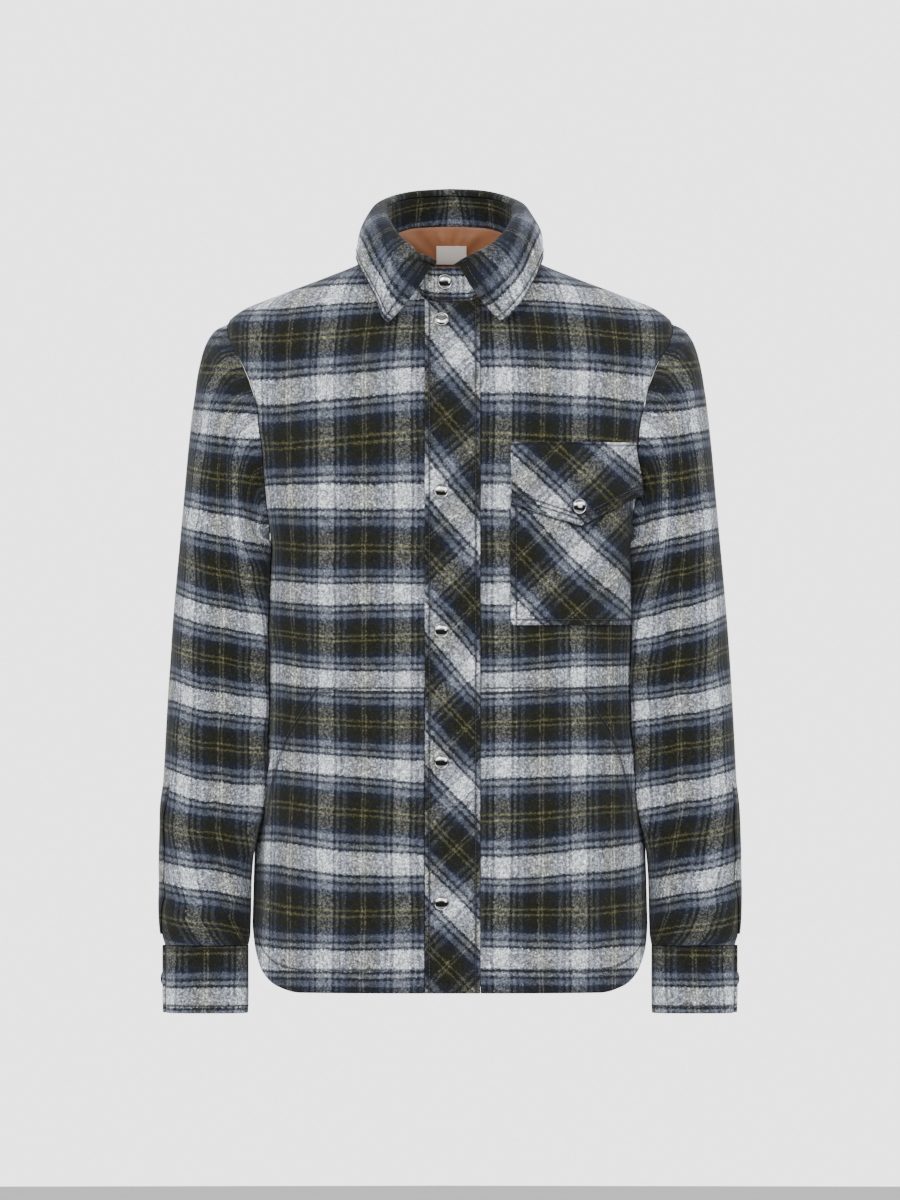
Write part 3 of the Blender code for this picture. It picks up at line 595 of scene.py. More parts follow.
@dataclass(frozen=True)
class BodyPanels:
    """The two fronts, the back, and the back's lining with its blank label.

    Attributes:
        front_columns: Columns of a front.
        back_columns: Columns of the back.
        lining_columns: Columns of its lining.
        hem_stitch: Height of the hem's stitching over its edge.
        front_cut: Flat cut of a front.
        back_cut: Flat cut of the back.
        lining_cut: Flat cut of the back's lining.
        label_cut: Flat cut of the label.
        right_warp: Distance from the centre of the first white warp on the wearer's right.
        left_warp: The same on the wearer's left.
    """

    front_columns: int = 84
    back_columns: int = 150
    lining_columns: int = 110
    hem_stitch: float = 20.0
    front_cut: Cut = Cut(0.335, 0.78, ("back", "collar_stand"), 0.205)
    back_cut: Cut = Cut(0.62, 0.80, ("collar_stand",), 0.40)
    lining_cut: Cut = Cut(0.60, 0.79, ("back",), 0.38, thickness=LINING_WALL, rim=0.1)
    label_cut: Cut = Cut(0.031, 0.017, ("lining_back",), thickness=LABEL_WALL, rim=0.15)
    right_warp: float = 47.0
    left_warp: float = 52.0

    def front_rows(self, side: Side, edge_x: float) -> list[list[Spot]]:
        """Points of a front, from its side edge to its centre edge.

        Args:
            side: The wearer's side.
            edge_x: Distance of its centre edge past the centre, towards that side.

        Returns:
            Rows of spots.
        """
        points = []
        for side_z in LEVELS:
            inside = UNDERARM < side_z < SHOULDER_TIP
            start = FORM.across(ARMHOLE_FRONT(side_z) if inside else 0.0)
            end = FORM.across(FORM.place_at(edge_x, side_z)[0])
            line = []
            for angle in (FORM.angle_across(a) for a in spread(start, end, self.front_columns)):
                z = row_height(side_z, turn_of(angle), FRONT_NECK)
                line.append(FORM.point(side.turned(angle), z))
            if abs(line[0].y) < 0.5 * SEAM_GAP:
                line[0].y = -0.5 * SEAM_GAP
            points.append(line)
        first = self.left_warp if side is Side.LEFT else self.right_warp
        rows = []
        for side_z, line, widths in zip(LEVELS, points, measured(points, edge_x)):
            hem = self.above_hem(side_z)
            rows.append([
                Spot(at, (w - first) / WARP_SETT, body_weft(at.x, at.z), (hem, widths[0] - w, FAR))
                for at, w in zip(line, widths)
            ])
        return rows

    def above_hem(self, side_z: float) -> float:
        """Signed distance of a row from the hem's stitching."""
        return side_z - HEM_SIDE - self.hem_stitch if side_z < UNDERARM else FAR

    def build(self, wool: Material, lining: Material, label: Material) -> None:
        """Makes and dresses the panels.

        Args:
            wool: Finish of the fronts and the back.
            lining: Finish of the lining.
            label: Finish of the label.
        """
        for side, edge_x in ((Side.LEFT, BAND_SEAM + SEAM_GAP), (Side.RIGHT, -UNDERLAP_EDGE)):
            name = f"front_{side.word}"
            lay(f"wool_{name}", name, self.front_rows(side, edge_x), wool, Slot.WOOL, self.front_cut)
        rows = self.back_rows(0.0, 0.0, self.back_columns)
        lay("wool_back", "back", rows, wool, Slot.WOOL, self.back_cut)
        rows = self.back_rows(3.0, -4.6, self.lining_columns)
        lay("tan_lining", "lining_back", rows, lining, Slot.LINING, self.lining_cut, pull=self.lining_pull)
        lay("blank_label", "neck_label", self.label_rows(), label, Slot.LABEL, self.label_cut)

    def back_rows(self, inset: float, lift: float, columns: int) -> list[list[Spot]]:
        """Points of the back or of its lining, from the wearer's left round to the right.

        Args:
            inset: Degrees that its edges stay off the side and armhole seams.
            lift: Millimetres off the form.
            columns: Columns of the sheet, an even number.

        Returns:
            Rows of spots.
        """
        half = columns // 2
        whole = abs(FORM.across(-90.0001))
        rows = []
        for side_z in LEVELS if lift == 0.0 else LEVELS[2:]:
            inside = UNDERARM < side_z < SHOULDER_TIP
            start = (ARMHOLE_BACK(side_z) if inside else 0.0) + inset
            turns = [-FORM.angle_across(a) for a in spread(FORM.across(-start), whole, half)]
            places = [(-turn, turn) for turn in turns] + [(turn - 180.0, turn) for turn in turns[-2::-1]]
            line = [
                FORM.point(angle, row_height(side_z, min(turn, 90.0), BACK_NECK), lift)
                for angle, turn in places
            ]
            for end in (line[0], line[-1]):
                if abs(end.y) < 0.5 * SEAM_GAP:
                    end.y = 0.5 * SEAM_GAP
            left = measured([line[:half + 1]], 0.0)[0]
            right = measured([line[:half - 1:-1]], 0.0)[0][::-1]
            widths = left + [-w for w in right[1:]]
            hem = self.above_hem(side_z)
            rows.append([
                Spot(p, w / WARP_SETT, body_weft(p.x, p.z), (hem, min(widths[0] - w, w - widths[-1]), FAR))
                for p, w in zip(line, widths)
            ])
        return rows

    def lining_pull(self, at: Vector) -> float:
        """Fine drag lines of the lining, which run up from the label to the collar's seam."""
        x, z = at.x / MM, at.z / MM
        if z < -60.0:
            return 0.0
        turn = math.atan2(z + 8.0, x * 1.35)
        ripple = math.sin(turn * 17.0 + 0.03 * z) * 0.5 + math.sin(turn * 7.0 + 1.3) * 0.6
        return -1.5 * (ripple + 1.1) * ease((z + 60.0) / 50.0) * ease((34.0 - z) / 12.0)

    def label_rows(self) -> list[list[Spot]]:
        """Points of the plain woven label, seated on the lining at the centre back."""
        left, right, low, high = -14.0, 17.0, 3.0, 19.0
        rows = []
        for z in spread(low, high, 16):
            line = []
            for x in spread(left, right, 30):
                at = FORM.point(-FORM.angle_at(x, z), z, -8.1)
                edge = min(x - left, right - x, z - low, high - z)
                line.append(Spot(at, x, z, (edge - 1.4, FAR, FAR)))
            rows.append(line)
        return rows


@dataclass(frozen=True)
class FrontBand:
    """The bias-cut band down the front, over the wearer's right front.

    Attributes:
        columns: Columns of the band.
        stitch: Distance of its stitching from both edges.
        cut: Its flat cut.
    """

    columns: int = 22
    stitch: float = 4.5
    cut: Cut = Cut(
        0.058, 0.71, ("front_left", "front_right"), thickness=BAND_WALL, grows=OUTWARD, rim=0.9,
    )

    def build(self, wool: Material) -> None:
        """Makes and dresses the band.

        Args:
            wool: Its finish.
        """
        rows = []
        for side_z in LEVELS:
            drop = 1.5 if side_z == NECK_SIDE else 0.0
            line = []
            for x in spread(BAND_FREE_EDGE, BAND_SEAM, self.columns):
                angle, z = FORM.place_at(x, side_z)
                at = FORM.point(angle, z - drop, SEAM_GAP)
                slope = BAND_SLOPE(z)
                weft = BAND_WEFT(z + (x - BAND_FREE_EDGE) * slope)
                tilt = math.atan(slope)
                warp = (x * math.cos(tilt) - z * math.sin(tilt)) / WARP_SETT
                left = x - BAND_FREE_EDGE - self.stitch
                right = BAND_SEAM - x - self.stitch
                line.append(Spot(at, warp, weft, (left, right, FAR)))
            rows.append(line)
        lay("bias_band", "placket", rows, wool, Slot.BIAS, self.cut)


def overlay(x: float, z: float, lift: float) -> Vector:
    """Point over the front, as seen from the front."""
    return FORM.point(FORM.angle_at(x, z), z, lift)


@dataclass(frozen=True)
class HandPockets:
    """The large lower patches, whose mouths slant to the side seams.

    Attributes:
        columns: Columns of a pocket.
        rows: Rows of a pocket.
        lift: How far they stand off the fronts.
        stitch: Distance of the first stitched line from the top and the mouth.
        second: Distance of the second one.
        low: Height below which a pocket reaches the side seam.
        turn_in: Height over which its edge turns from the side seam to the mouth.
        cut: The flat cut of one.
        mouth: Half distance between the mouths at each height.
    """

    columns: int = 72
    rows: int = 76
    lift: float = 1.5
    stitch: float = 1.8
    second: float = 6.5
    low: float = -560.0
    turn_in: float = 8.0
    cut: Cut = Cut(0.24, 0.31, ("front_left",), 0.064, grows=OUTWARD, rim=0.7)
    mouth: Curve = curves((
        (-556, 189), (-538, 186.5), (-515, 181), (-483, 171), (-450, 153), (-424, 137),
    ))[0]

    def build(self, wool: Material) -> None:
        """Makes and dresses both pockets.

        Args:
            wool: Their finish.
        """
        for side, edge_x, first in (
            (Side.LEFT, BAND_SEAM + SEAM_GAP, BodyPanels.left_warp),
            (Side.RIGHT, -BAND_FREE_EDGE + 2.0 * SEAM_GAP, BodyPanels.right_warp),
        ):
            rows, edges = [], []
            for side_z in spread(HEM_SIDE, POCKET_TOP, self.rows):
                share = ease((side_z - self.low) / self.turn_in)
                mouth_x = self.mouth(side_z)
                start = 2.5 * (1.0 - share) + share * FORM.angle_at(mouth_x, side_z)
                first_across, last_across = FORM.across(start), FORM.across(FORM.place_at(edge_x, side_z)[0])
                hem = side_z - HEM_SIDE - BodyPanels.hem_stitch
                below = POCKET_TOP - side_z
                level = min(below - self.second, hem, key=abs)
                line, seams = [], []
                for angle in (FORM.angle_across(a) for a in spread(first_across, last_across, self.columns)):
                    z = row_height(side_z, turn_of(angle), FRONT_NECK)
                    at = FORM.point(side.turned(angle), z, self.lift)
                    inner = min((mouth_x - abs(at.x)) * 0.86, first_across - FORM.across(angle))
                    if side_z <= self.low + self.turn_in:
                        inner = FAR
                    line.append(at)
                    seams.append((below - self.stitch, level, inner - self.second))
                rows.append(line)
                edges.append(seams)
            spots = [
                [
                    Spot(at, (w - first) / WARP_SETT, body_weft(at.x, at.z), seam)
                    for at, w, seam in zip(line, widths, seams)
                ]
                for line, widths, seams in zip(rows, measured(rows, edge_x), edges)
            ]
            name = f"hand_pocket_{side.word}"
            lay(f"patch_{name}", name, spots, wool, Slot.WOOL, self.cut, side)


@dataclass(frozen=True)
class ChestPocket:
    """The bias-cut chest pocket and its pointed flap, on the wearer's left.

    Attributes:
        left: Inner edge.
        right: Outer edge.
        top: Top of the pocket, under the flap.
        bottom: Its lower edge.
        flap_top: Top of the flap.
        flap_right: Outer edge of the flap at its bottom.
        point_x: Place across of the flap's point.
        point_z: Height of it.
        inner_low: Height of the flap's lower edge at its inner side.
        outer_low: The same at its outer side.
        stitch: Distance of the stitching from the edges.
        second: Distance of the flap's second line.
        lift: How far the pocket stands off the front.
        pocket_cut: The pocket's flat cut.
        flap_cut: The flap's flat cut.
    """

    left: float = 60.0
    right: float = 181.0
    top: float = -214.0
    bottom: float = -363.0
    flap_top: float = -181.5
    flap_right: float = 184.5
    point_x: float = 127.0
    point_z: float = -264.0
    inner_low: float = -242.0
    outer_low: float = -232.0
    stitch: float = 5.5
    second: float = 9.5
    lift: float = 0.7
    pocket_cut: Cut = Cut(0.145, 0.15, ("front_left",), grows=OUTWARD, rim=0.7)
    flap_cut: Cut = Cut(
        0.15, 0.083, ("front_left", "chest_pocket"), 0.0105, thickness=BAND_WALL, grows=OUTWARD, rim=0.9,
    )

    def flap_lift(self, z: float) -> float:
        """How far the flap's underside stands off the front."""
        return self.lift + 5.0 * ease((self.flap_top - z) / 40.0)

    def flap_low(self, across: float) -> float:
        """Height of the flap's lower edge at a share of its width."""
        middle = (self.point_x - self.left) / (self.flap_right - self.left)
        if across < middle:
            return self.inner_low + (self.point_z - self.inner_low) * across / middle
        return self.outer_low + (self.point_z - self.outer_low) * (1.0 - across) / (1.0 - middle)

    def flap_place(self, across: float, down: float) -> tuple[float, float, float]:
        """Point of the flap as seen from the front, with the height of its lower edge there."""
        right = self.flap_right - 1.5 * (1.0 - down)
        x = self.left + (right - self.left) * across
        low = self.flap_low(across)
        return x, self.flap_top + (low - self.flap_top) * down, low

    def build(self, wool: Material) -> None:
        """Makes and dresses the pocket and the flap.

        Args:
            wool: Their finish.
        """
        rows = []
        for z in spread(self.bottom, self.top, 52):
            line = []
            for x in spread(self.left, self.right, 44):
                across = FORM.across(FORM.angle_at(x, z))
                warp, weft = (x - z) * BIAS / WARP_SETT + 0.2, ((x + z) * BIAS + 113.0) / 90.0
                far = FORM.across(FORM.angle_at(self.right, z)) - across
                # Painted shadow: the distance to just below the flap's lower edge joins the seams, so the
                # painted shade darkens the pocket under the flap.
                under = self.flap_low((x - self.left) / (self.flap_right - self.left)) - 1.6 - z
                level = min(z - self.bottom - self.stitch, under, key=abs)
                edges = (x - self.left - self.stitch, far - self.stitch, level)
                line.append(Spot(overlay(x, z, self.lift + self.belly(x, z)), warp, weft, edges))
            rows.append(line)
        lay("bias_chest_pocket", "chest_pocket", rows, wool, Slot.BIAS, self.pocket_cut)
        rows = []
        for down in spread(0.0, 1.0, 34):
            line = []
            for across in spread(0.0, 1.0, 48):
                x, z, low = self.flap_place(across, down)
                edge = (z - low) * 0.93
                edges = (edge - self.stitch, edge - self.second, self.flap_top - z - 3.0)
                at = overlay(x, z, self.flap_lift(z) + self.curl(x, z, low))
                warp, weft = (x - z) * BIAS / WARP_SETT - 0.15, ((x + z) * BIAS + 103.0) / WEFT_SETT
                line.append(Spot(at, warp, weft, edges))
            rows.append(line)
        lay("bias_pocket_flap", "pocket_flap", rows, wool, Slot.BIAS, self.flap_cut)

    def belly(self, x: float, z: float) -> float:
        """The pocket's slight slack in its middle."""
        across = (x - self.left) / (self.right - self.left)
        down = (self.top - z) / (self.top - self.bottom)
        middle = 4.0 * across * (1.0 - across)
        return 1.6 * middle * ease(down / 0.5) * ease((1.0 - down) / 0.3)

    def curl(self, x: float, z: float, low: float) -> float:
        """The flap's corners, which curl a little off the pocket."""
        away = abs(x - self.point_x) / 66.0
        return 2.0 * ease((away - 0.55) / 0.45) * ease((low + 34.0 - z) / 30.0)


@dataclass(frozen=True)
class Collar:
    """The stand and the pointed fall that turns down over it.

    Attributes:
        fall_columns: Columns of half the fall.
        fall_steps: Steps from the crest to the edge.
        stitch: Distance of the fall's stitching from its edges.
        lean: How far its front edges sit towards the wearer's right.
        tab_y: Place of the stand's top from back to front at its tab.
        tab_z: Height of the tab's top.
        stand_cut: The stand's flat cut.
        fall_cut: The fall's flat cut.
    """

    fall_columns: int = 110
    fall_steps: int = 22
    stitch: float = 6.5
    lean: float = -5.0
    tab_y: float = -83.0
    tab_z: float = -8.0
    stand_cut: Cut = Cut(
        0.46, 0.043, ("back", "front_left", "front_right"), thickness=BAND_WALL, rim=0.8,
    )
    fall_cut: Cut = Cut(
        0.47, 0.075, ("collar_stand",), held=Held.FOLDED, thickness=COLLAR_WALL, rim=1.3,
    )
    lines: tuple[Curve, ...] = tuple(curves((
        (0.00, 12, -92, -4, 56.5, -98.5, -61.5, 0.36, 31), (0.04, 19, -90.4, 1, 62, -96.8, -57.5, 0.50, 24),
        (0.12, 31, -87, 9, 68, -93, -48, 0.65, 14), (0.25, 48, -71, 23, 80, -79, -27, 0.78, 8),
        (0.38, 60, -46, 38, 90.5, -58, -5, 0.90, 4), (0.50, 66, -20, 50, 94, -14, 5, 0.95, 2),
        (0.62, 66, 8, 60, 88, 20, 10, 0.95, 2), (0.75, 58, 34, 67, 74, 48, 17, 0.95, 2),
        (0.88, 33, 55, 73, 42, 70, 24, 0.95, 2), (1.00, 0, 62, 75, 0, 77, 28, 0.95, 2),
    )))
    stand_station: Curve = curves((
        (0, 0.00), (6, 0.12), (17, 0.25), (35, 0.38), (60, 0.47), (90, 0.56), (120, 0.68), (150, 0.84),
        (180, 1.00),
    ))[0]
    roll: tuple[tuple[float, float], ...] = (
        (-3.5, -6.8), (-3.5, -5.2), (-3.3, -3.5), (-2.6, -2.0), (-1.6, -0.9), (0.2, -0.15), (2.0, 0.0),
    )

    def stand_point(self, angle: float, rise: float, lift: float) -> Vector:
        """Point of the stand's outer face.

        Args:
            angle: Degrees round the neck.
            rise: Share from the neck seam to its top.
            lift: Millimetres outwards.

        Returns:
            The point in millimetres.
        """
        turn = turn_of(angle)
        ahead = math.sin(math.radians(angle)) >= 0.0
        seam = FORM.shape(angle, (FRONT_NECK if ahead else BACK_NECK)(turn))
        station = self.stand_station(90.0 - turn if ahead else 90.0 + turn)
        side = 1.0 if seam.x >= 0.0 else -1.0
        crest = Vector((side * self.lines[0](station), self.lines[1](station), 0.0))
        crest.y = max(crest.y, self.tab_y)
        crest.z = self.lines[2](station) - 8.0
        share = ease((abs(seam.x) - 12.0) / 26.0) if ahead else 1.0
        top = Vector((seam.x, self.tab_y, self.tab_z)).lerp(crest, share)
        point = seam.lerp(top, rise)
        outward = Vector((point.x, point.y, 0.0)).normalized()
        if ahead and abs(seam.x) < 45.0:
            outward = Vector((0.0, -1.0, 0.0))
        return point + outward * lift + Vector((0.0, 0.0, SEAM_GAP))

    def stand_columns(self) -> list[tuple[float, float, float]]:
        """Columns of the stand from its under end to its outer end: angle, lift and end trim."""
        under = 180.0 - FORM.place_at(-UNDERLAP_EDGE, NECK_SIDE)[0]
        seam = 360.0 + FORM.place_at(40.0, NECK_SIDE)[0]
        first, last = FORM.across(under), FORM.across(seam - 360.0)
        bend = 60.0
        angles = [FORM.angle_across(a) for a in spread(first, -bend, 34)[:-1]]
        angles += spread(FORM.angle_across(-bend), 360.0 + FORM.angle_across(bend), 150)[:-1]
        angles += [360.0 + FORM.angle_across(a) for a in spread(bend, last, 8)[:-1]]
        found = [(angle, 0.0, 0.0) for angle in angles]
        lift = Curve((BAND_FREE_EDGE, 22.0, BAND_SEAM, 40.0), (3.5, 3.5, 2.1, 0.0))
        trim = Curve(
            (BAND_FREE_EDGE, -24.2, -23.0, -21.0, -18.0, -12.0, -8.0),
            (0.36, 0.22, 0.14, 0.08, 0.03, 0.005, 0.0),
        )
        places = [*spread(40.0, -18.0, 30), -19.5, -21.0, -22.0, -23.0, -23.8, -24.4, BAND_FREE_EDGE]
        found += [(360.0 + FORM.place_at(x, NECK_SIDE)[0], lift(x), trim(x)) for x in places]
        return found

    def build_stand(self, wool: Material) -> None:
        """Makes and dresses the stand.

        Args:
            wool: Its finish.
        """
        columns = self.stand_columns()
        shares = [
            [trim + (1.0 - 2.0 * trim) * rise for _, _, trim in columns] for rise in spread(0.0, 1.0, 16)
        ]
        grid = [
            [self.stand_point(angle, share, lift) for (angle, lift, _), share in zip(columns, line)]
            for line in shares
        ]
        widths = measured([grid[0]], 0.0)[0]
        heights = [(top - low).length for low, top in zip(grid[0], grid[-1])]
        rows = []
        for line, rises in zip(grid, shares):
            spots = []
            for at, rise, width, height in zip(line, rises, widths, heights):
                back = ease((at.y + 84.0) / 60.0)
                top = 0.37 * back + 0.78 * (1.0 - back)
                low = 0.80 * back + 1.22 * (1.0 - back)
                seam = rise * height - 3.0 if at.y < -55.0 else FAR
                warp = (width - 0.5 * widths[0]) / WARP_SETT
                spots.append(Spot(at, warp, low + (top - low) * rise, (seam, FAR, FAR)))
            rows.append(spots)
        lay("collar_stand_band", "collar_stand", rows, wool, Slot.WOOL, self.stand_cut)

    def fall_section(self, station: float, side: float) -> list[Vector]:
        """Points of the fall at one place: up inside the roll, over the crest and down outside.

        Args:
            station: 0 at the centre front, 1 at the centre back.
            side: 1 on the wearer's left, -1 on the right.

        Returns:
            The points from inside the roll to the edge.
        """
        roll_x, roll_y, roll_z, edge_x, edge_y, edge_z, reach, drop = (c(station) for c in self.lines)
        lean = self.lean * (1.0 - ease(station / 0.22))
        crest = Vector((side * roll_x + lean, roll_y, roll_z))
        edge = Vector((side * edge_x + lean, edge_y, edge_z))
        outward = Vector((edge.x - crest.x, edge.y - crest.y, 0.0))
        span = outward.length
        outward.normalize()
        up = Vector((0.0, 0.0, 1.0))
        height = 0.3 + 0.7 * ease(station / 0.12)
        points = [crest + outward * out + up * (rise * height) for out, rise in self.roll]
        start = points[-1]
        control = crest + outward * (span * reach) - up * drop
        for t in spread(0.0, 1.0, self.fall_steps)[1:]:
            points.append(start * (1.0 - t) ** 2 + control * 2.0 * t * (1.0 - t) + edge * t * t)
        return points

    def build_fall(self, wool: Material) -> None:
        """Makes and dresses the fall.

        Args:
            wool: Its finish.
        """
        half = [s ** 1.25 for s in spread(0.0, 1.0, self.fall_columns)]
        sections = [self.fall_section(s, 1.0) for s in half]
        sections += [self.fall_section(s, -1.0) for s in reversed(half[:-1])]
        middle = len(half) - 1
        along = [0.0] * len(sections)
        for step, places in ((1, range(middle + 1, len(sections))), (-1, range(middle - 1, -1, -1))):
            for i in places:
                apart = 0.5 * (sections[i][9] - sections[i - step][9]).length
                apart += 0.5 * (sections[i][-1] - sections[i - step][-1]).length
                along[i] = along[i - step] + step * apart
        rows = []
        for i, section in enumerate(sections):
            depths = measured([section], 0.0)[0]
            from_front = abs(along[0] - along[i]) if i <= middle else abs(along[-1] - along[i])
            line = []
            for at, depth in zip(section, depths):
                edges = (depth - self.stitch, from_front * 0.95 - self.stitch, FAR)
                line.append(Spot(at, along[i] / WARP_SETT, LEAF_WEFT(depth), edges))
            rows.append(line)
        lay("collar_leaf", "collar_fall", rows, wool, Slot.WOOL, self.fall_cut, pull=self.wave)

    def wave(self, at: Vector) -> float:
        """The leaf's slight unevenness, which differs from side to side."""
        x, z = at.x / MM, at.z / MM
        return 0.5 * math.sin(0.11 * z + 0.05 * x) + 0.35 * math.sin(0.07 * x - 0.19 * z + 0.8)


@dataclass(frozen=True)
class Sleeves:
    """Both sleeves, the strips over their vents and their cuffs.

    Attributes:
        rings: Rings of a sleeve.
        forward: How far forward the cuffs stand.
        centre_x: Distance of the cuffs from the middle.
        cuff_low: Height of the cuffs' lower edge.
        cuff_top: Height of their upper edge.
        cuff_stitch: Distance of their stitching from the lower edge.
        sleeve_cut: A sleeve's flat cut.
        vent_cut: A vent strip's flat cut.
        cuff_cut: A cuff's flat cut.
    """

    rings: int = 170
    forward: float = 22.0
    centre_x: float = 242.5
    cuff_low: float = -750.0
    cuff_top: float = -682.4
    cuff_stitch: float = 7.5
    sleeve_cut: Cut = Cut(0.45, 0.62, ("front_left", "back"), 0.19)
    vent_cut: Cut = Cut(0.045, 0.18, ("sleeve_left",), thickness=VENT_WALL, grows=OUTWARD, rim=0.6)
    cuff_cut: Cut = Cut(0.27, 0.068, ("sleeve_left",), thickness=BAND_WALL, rim=0.8)
    lines: tuple[Curve, ...] = tuple(curves((
        (0, 184.9, -290, 222, -62, 79, 0, 1.00), (1, 186.6, -291.5, 234, -68, 80, 0, 0.85),
        (2, 187.2, -293.5, 244, -82, 80.5, 0, 0.65), (3, 187.4, -296, 250.5, -104, 80.5, 0.5, 0.45),
        (4, 187.5, -299.5, 255, -130, 80, 1, 0.30), (5, 187.5, -304, 258.5, -158, 79.5, 1.5, 0.18),
        (6, 187.4, -312, 262, -192, 79, 2, 0.10), (7, 187.3, -324, 265.5, -232, 78, 3, 0.05),
        (8, 187.2, -343, 269.5, -276, 77, 4, 0), (9, 187.2, -370, 274, -325, 76, 6, 0),
        (10, 187.6, -405, 278.5, -380, 74, 8, 0), (11, 188.8, -448, 282, -436, 71.5, 10, 0),
        (12, 191.2, -500, 285, -494, 68, 13, 0), (13, 194.6, -550, 287.5, -547, 63.5, 16, 0),
        (14, 197, -595, 289, -594, 58.5, 19, 0), (15, 198.2, -630, 289.5, -630, 53, 21, 0),
        (16, 198.6, -655, 289, -655, 48, 22, 0), (17, 199.2, -671, 287.5, -671, 42.5, 22, 0),
        (18, 201, -682, 284.5, -682, 35.5, 22, 0),
    )))
    vent_edges: tuple[Curve, ...] = tuple(curves((
        (12, 42, -2), (13, 37, -8), (14, 32, -14), (15, 26, -20), (16, 20, -26), (17, 15, -32),
    )))
    cuff_lines: tuple[Curve, ...] = tuple(curves((
        (-750, 41, 32.5), (-728, 41.5, 33), (-705, 41.5, 33.5), (-682.4, 41.5, 33.5),
    )))

    def section(self, station: float, turn: float) -> Vector:
        """Point of a bare sleeve section: turn 0 is its outer point, a quarter turn its front."""
        inner_x, inner_z, outer_x, outer_z, half_depth, forward, _ = (c(station) for c in self.lines)
        outer = Vector((outer_x, 0.0, outer_z))
        inner = Vector((inner_x, 0.0, inner_z))
        along = power(math.cos(turn), 2.0 / ROUNDNESS)
        ahead = power(math.sin(turn), 2.0 / ROUNDNESS)
        point = 0.5 * (outer + inner) + 0.5 * (outer - inner) * along
        point.y = -forward - half_depth * ahead
        return point

    def armhole(self, side: Side) -> list[tuple[Vector, float]]:
        """The armhole's points on the wearer's left, and their turn round a sleeve section."""
        outer = self.section(0.0, 0.0)
        inner = self.section(0.0, math.pi)
        centre = 0.5 * (outer + inner)
        axis = 0.5 * (outer - inner)
        levels = [z for z in LEVELS if UNDERARM <= z <= SHOULDER_TIP]
        places = [(ARMHOLE_FRONT(z), z) for z in reversed(levels)]
        places += [(-ARMHOLE_BACK(z), z) for z in levels[1:-1]]
        found = []
        for angle, z in places:
            point = FORM.point(side.turned(angle), z)
            point.x = abs(point.x)
            bare = FORM.shape(angle, z)
            along = (bare - centre).dot(axis) / axis.length_squared
            beside = -bare.y / 79.0
            turn = math.atan2(power(beside, ROUNDNESS / 2.0), power(along, ROUNDNESS / 2.0))
            found.append((point, turn))
        return found

    def build_sleeve(self, side: Side, wool: Material) -> None:
        """Makes and dresses one sleeve.

        Args:
            side: The wearer's side.
            wool: Its finish.
        """
        loop = self.armhole(side)
        seam = max(range(len(loop)), key=lambda i: abs(loop[i][1]))
        loop = loop[seam:] + loop[:seam + 1]
        turns = [turn for _, turn in loop]
        turns[0] = -abs(turns[0])
        turns[-1] = abs(turns[-1])
        if turns[1] > 0.0:
            turns[0], turns[-1] = abs(turns[0]), -abs(turns[-1])
        stations = [18.0 * (i / self.rings) for i in range(self.rings + 1)]
        grid = []
        away = [edge - self.section(0.0, turn) for edge, turn in loop]
        for station in stations:
            blend = self.lines[6](station)
            grid.append([self.section(station, turn) + off * blend for (_, turn), off in zip(loop, away)])
        for point in grid[0]:
            point.x += SEAM_GAP + 0.1
        self.crease(grid, stations, turns, side)
        self.press(grid, stations, turns, side)
        middle = min(range(len(turns)), key=lambda i: abs(turns[i]))
        rows = []
        for line, station in zip(grid, stations):
            before = measured([line[:middle + 1]], 0.0)[0]
            after = measured([line[:middle - 1:-1]], 0.0)[0][::-1]
            widths = [-w for w in before] + after[1:]
            spots = []
            for at, turn, width in zip(line, turns, widths):
                share = 0.5 - 0.5 * math.cos(turn)
                weft = OUTER_WEFT(at.z) * (1.0 - share) + INNER_WEFT(at.z) * share
                spots.append(Spot(side.own(at), width / WARP_SETT + 0.12, weft, (34.0 * station, FAR, FAR)))
            rows.append(spots)
        name = f"sleeve_{side.word}"
        lay(f"wool_{name}", name, rows, wool, Slot.WOOL, self.sleeve_cut, side, on_arm=True)

    def fold(self, side: Side, degrees: float, station: float) -> float:
        """Height of a sleeve's creases, which are shifted on one side, so that the sleeves differ."""
        across, height = (0.0, 0.0) if side is Side.LEFT else (9.0, 14.0)
        return creased(SLEEVE_CREASES, degrees * 1.15 + across, -34.0 * station + height)

    def crease(self, grid: list[list[Vector]], stations: list[float], turns: list[float], side: Side) -> None:
        """Moves a sleeve's points along their normals by its creases.

        Args:
            grid: The sleeve's rings of points.
            stations: Their stations.
            turns: Their turns, in radians.
            side: The wearer's side.
        """
        moves = []
        for i in range(1, len(grid) - 1):
            fade = ease((stations[i] - 0.4) / 2.0) * ease((17.6 - stations[i]) / 1.2)
            for j in range(len(turns)):
                left = grid[i][max(j - 1, 0)]
                right = grid[i][min(j + 1, len(turns) - 1)]
                normal = (right - left).cross(grid[i + 1][j] - grid[i - 1][j])
                if normal.length < 1e-9:
                    continue
                normal.normalize()
                centre = Vector((235.0, -10.0, grid[i][j].z))
                if normal.dot(grid[i][j] - centre) < 0.0:
                    normal.negate()
                end = ease((math.pi - abs(turns[j])) / 0.35)
                fold = self.fold(side, math.degrees(turns[j]), stations[i])
                moves.append((i, j, normal * (fold * fade * end)))
        for i, j, move in moves:
            grid[i][j] = grid[i][j] + move

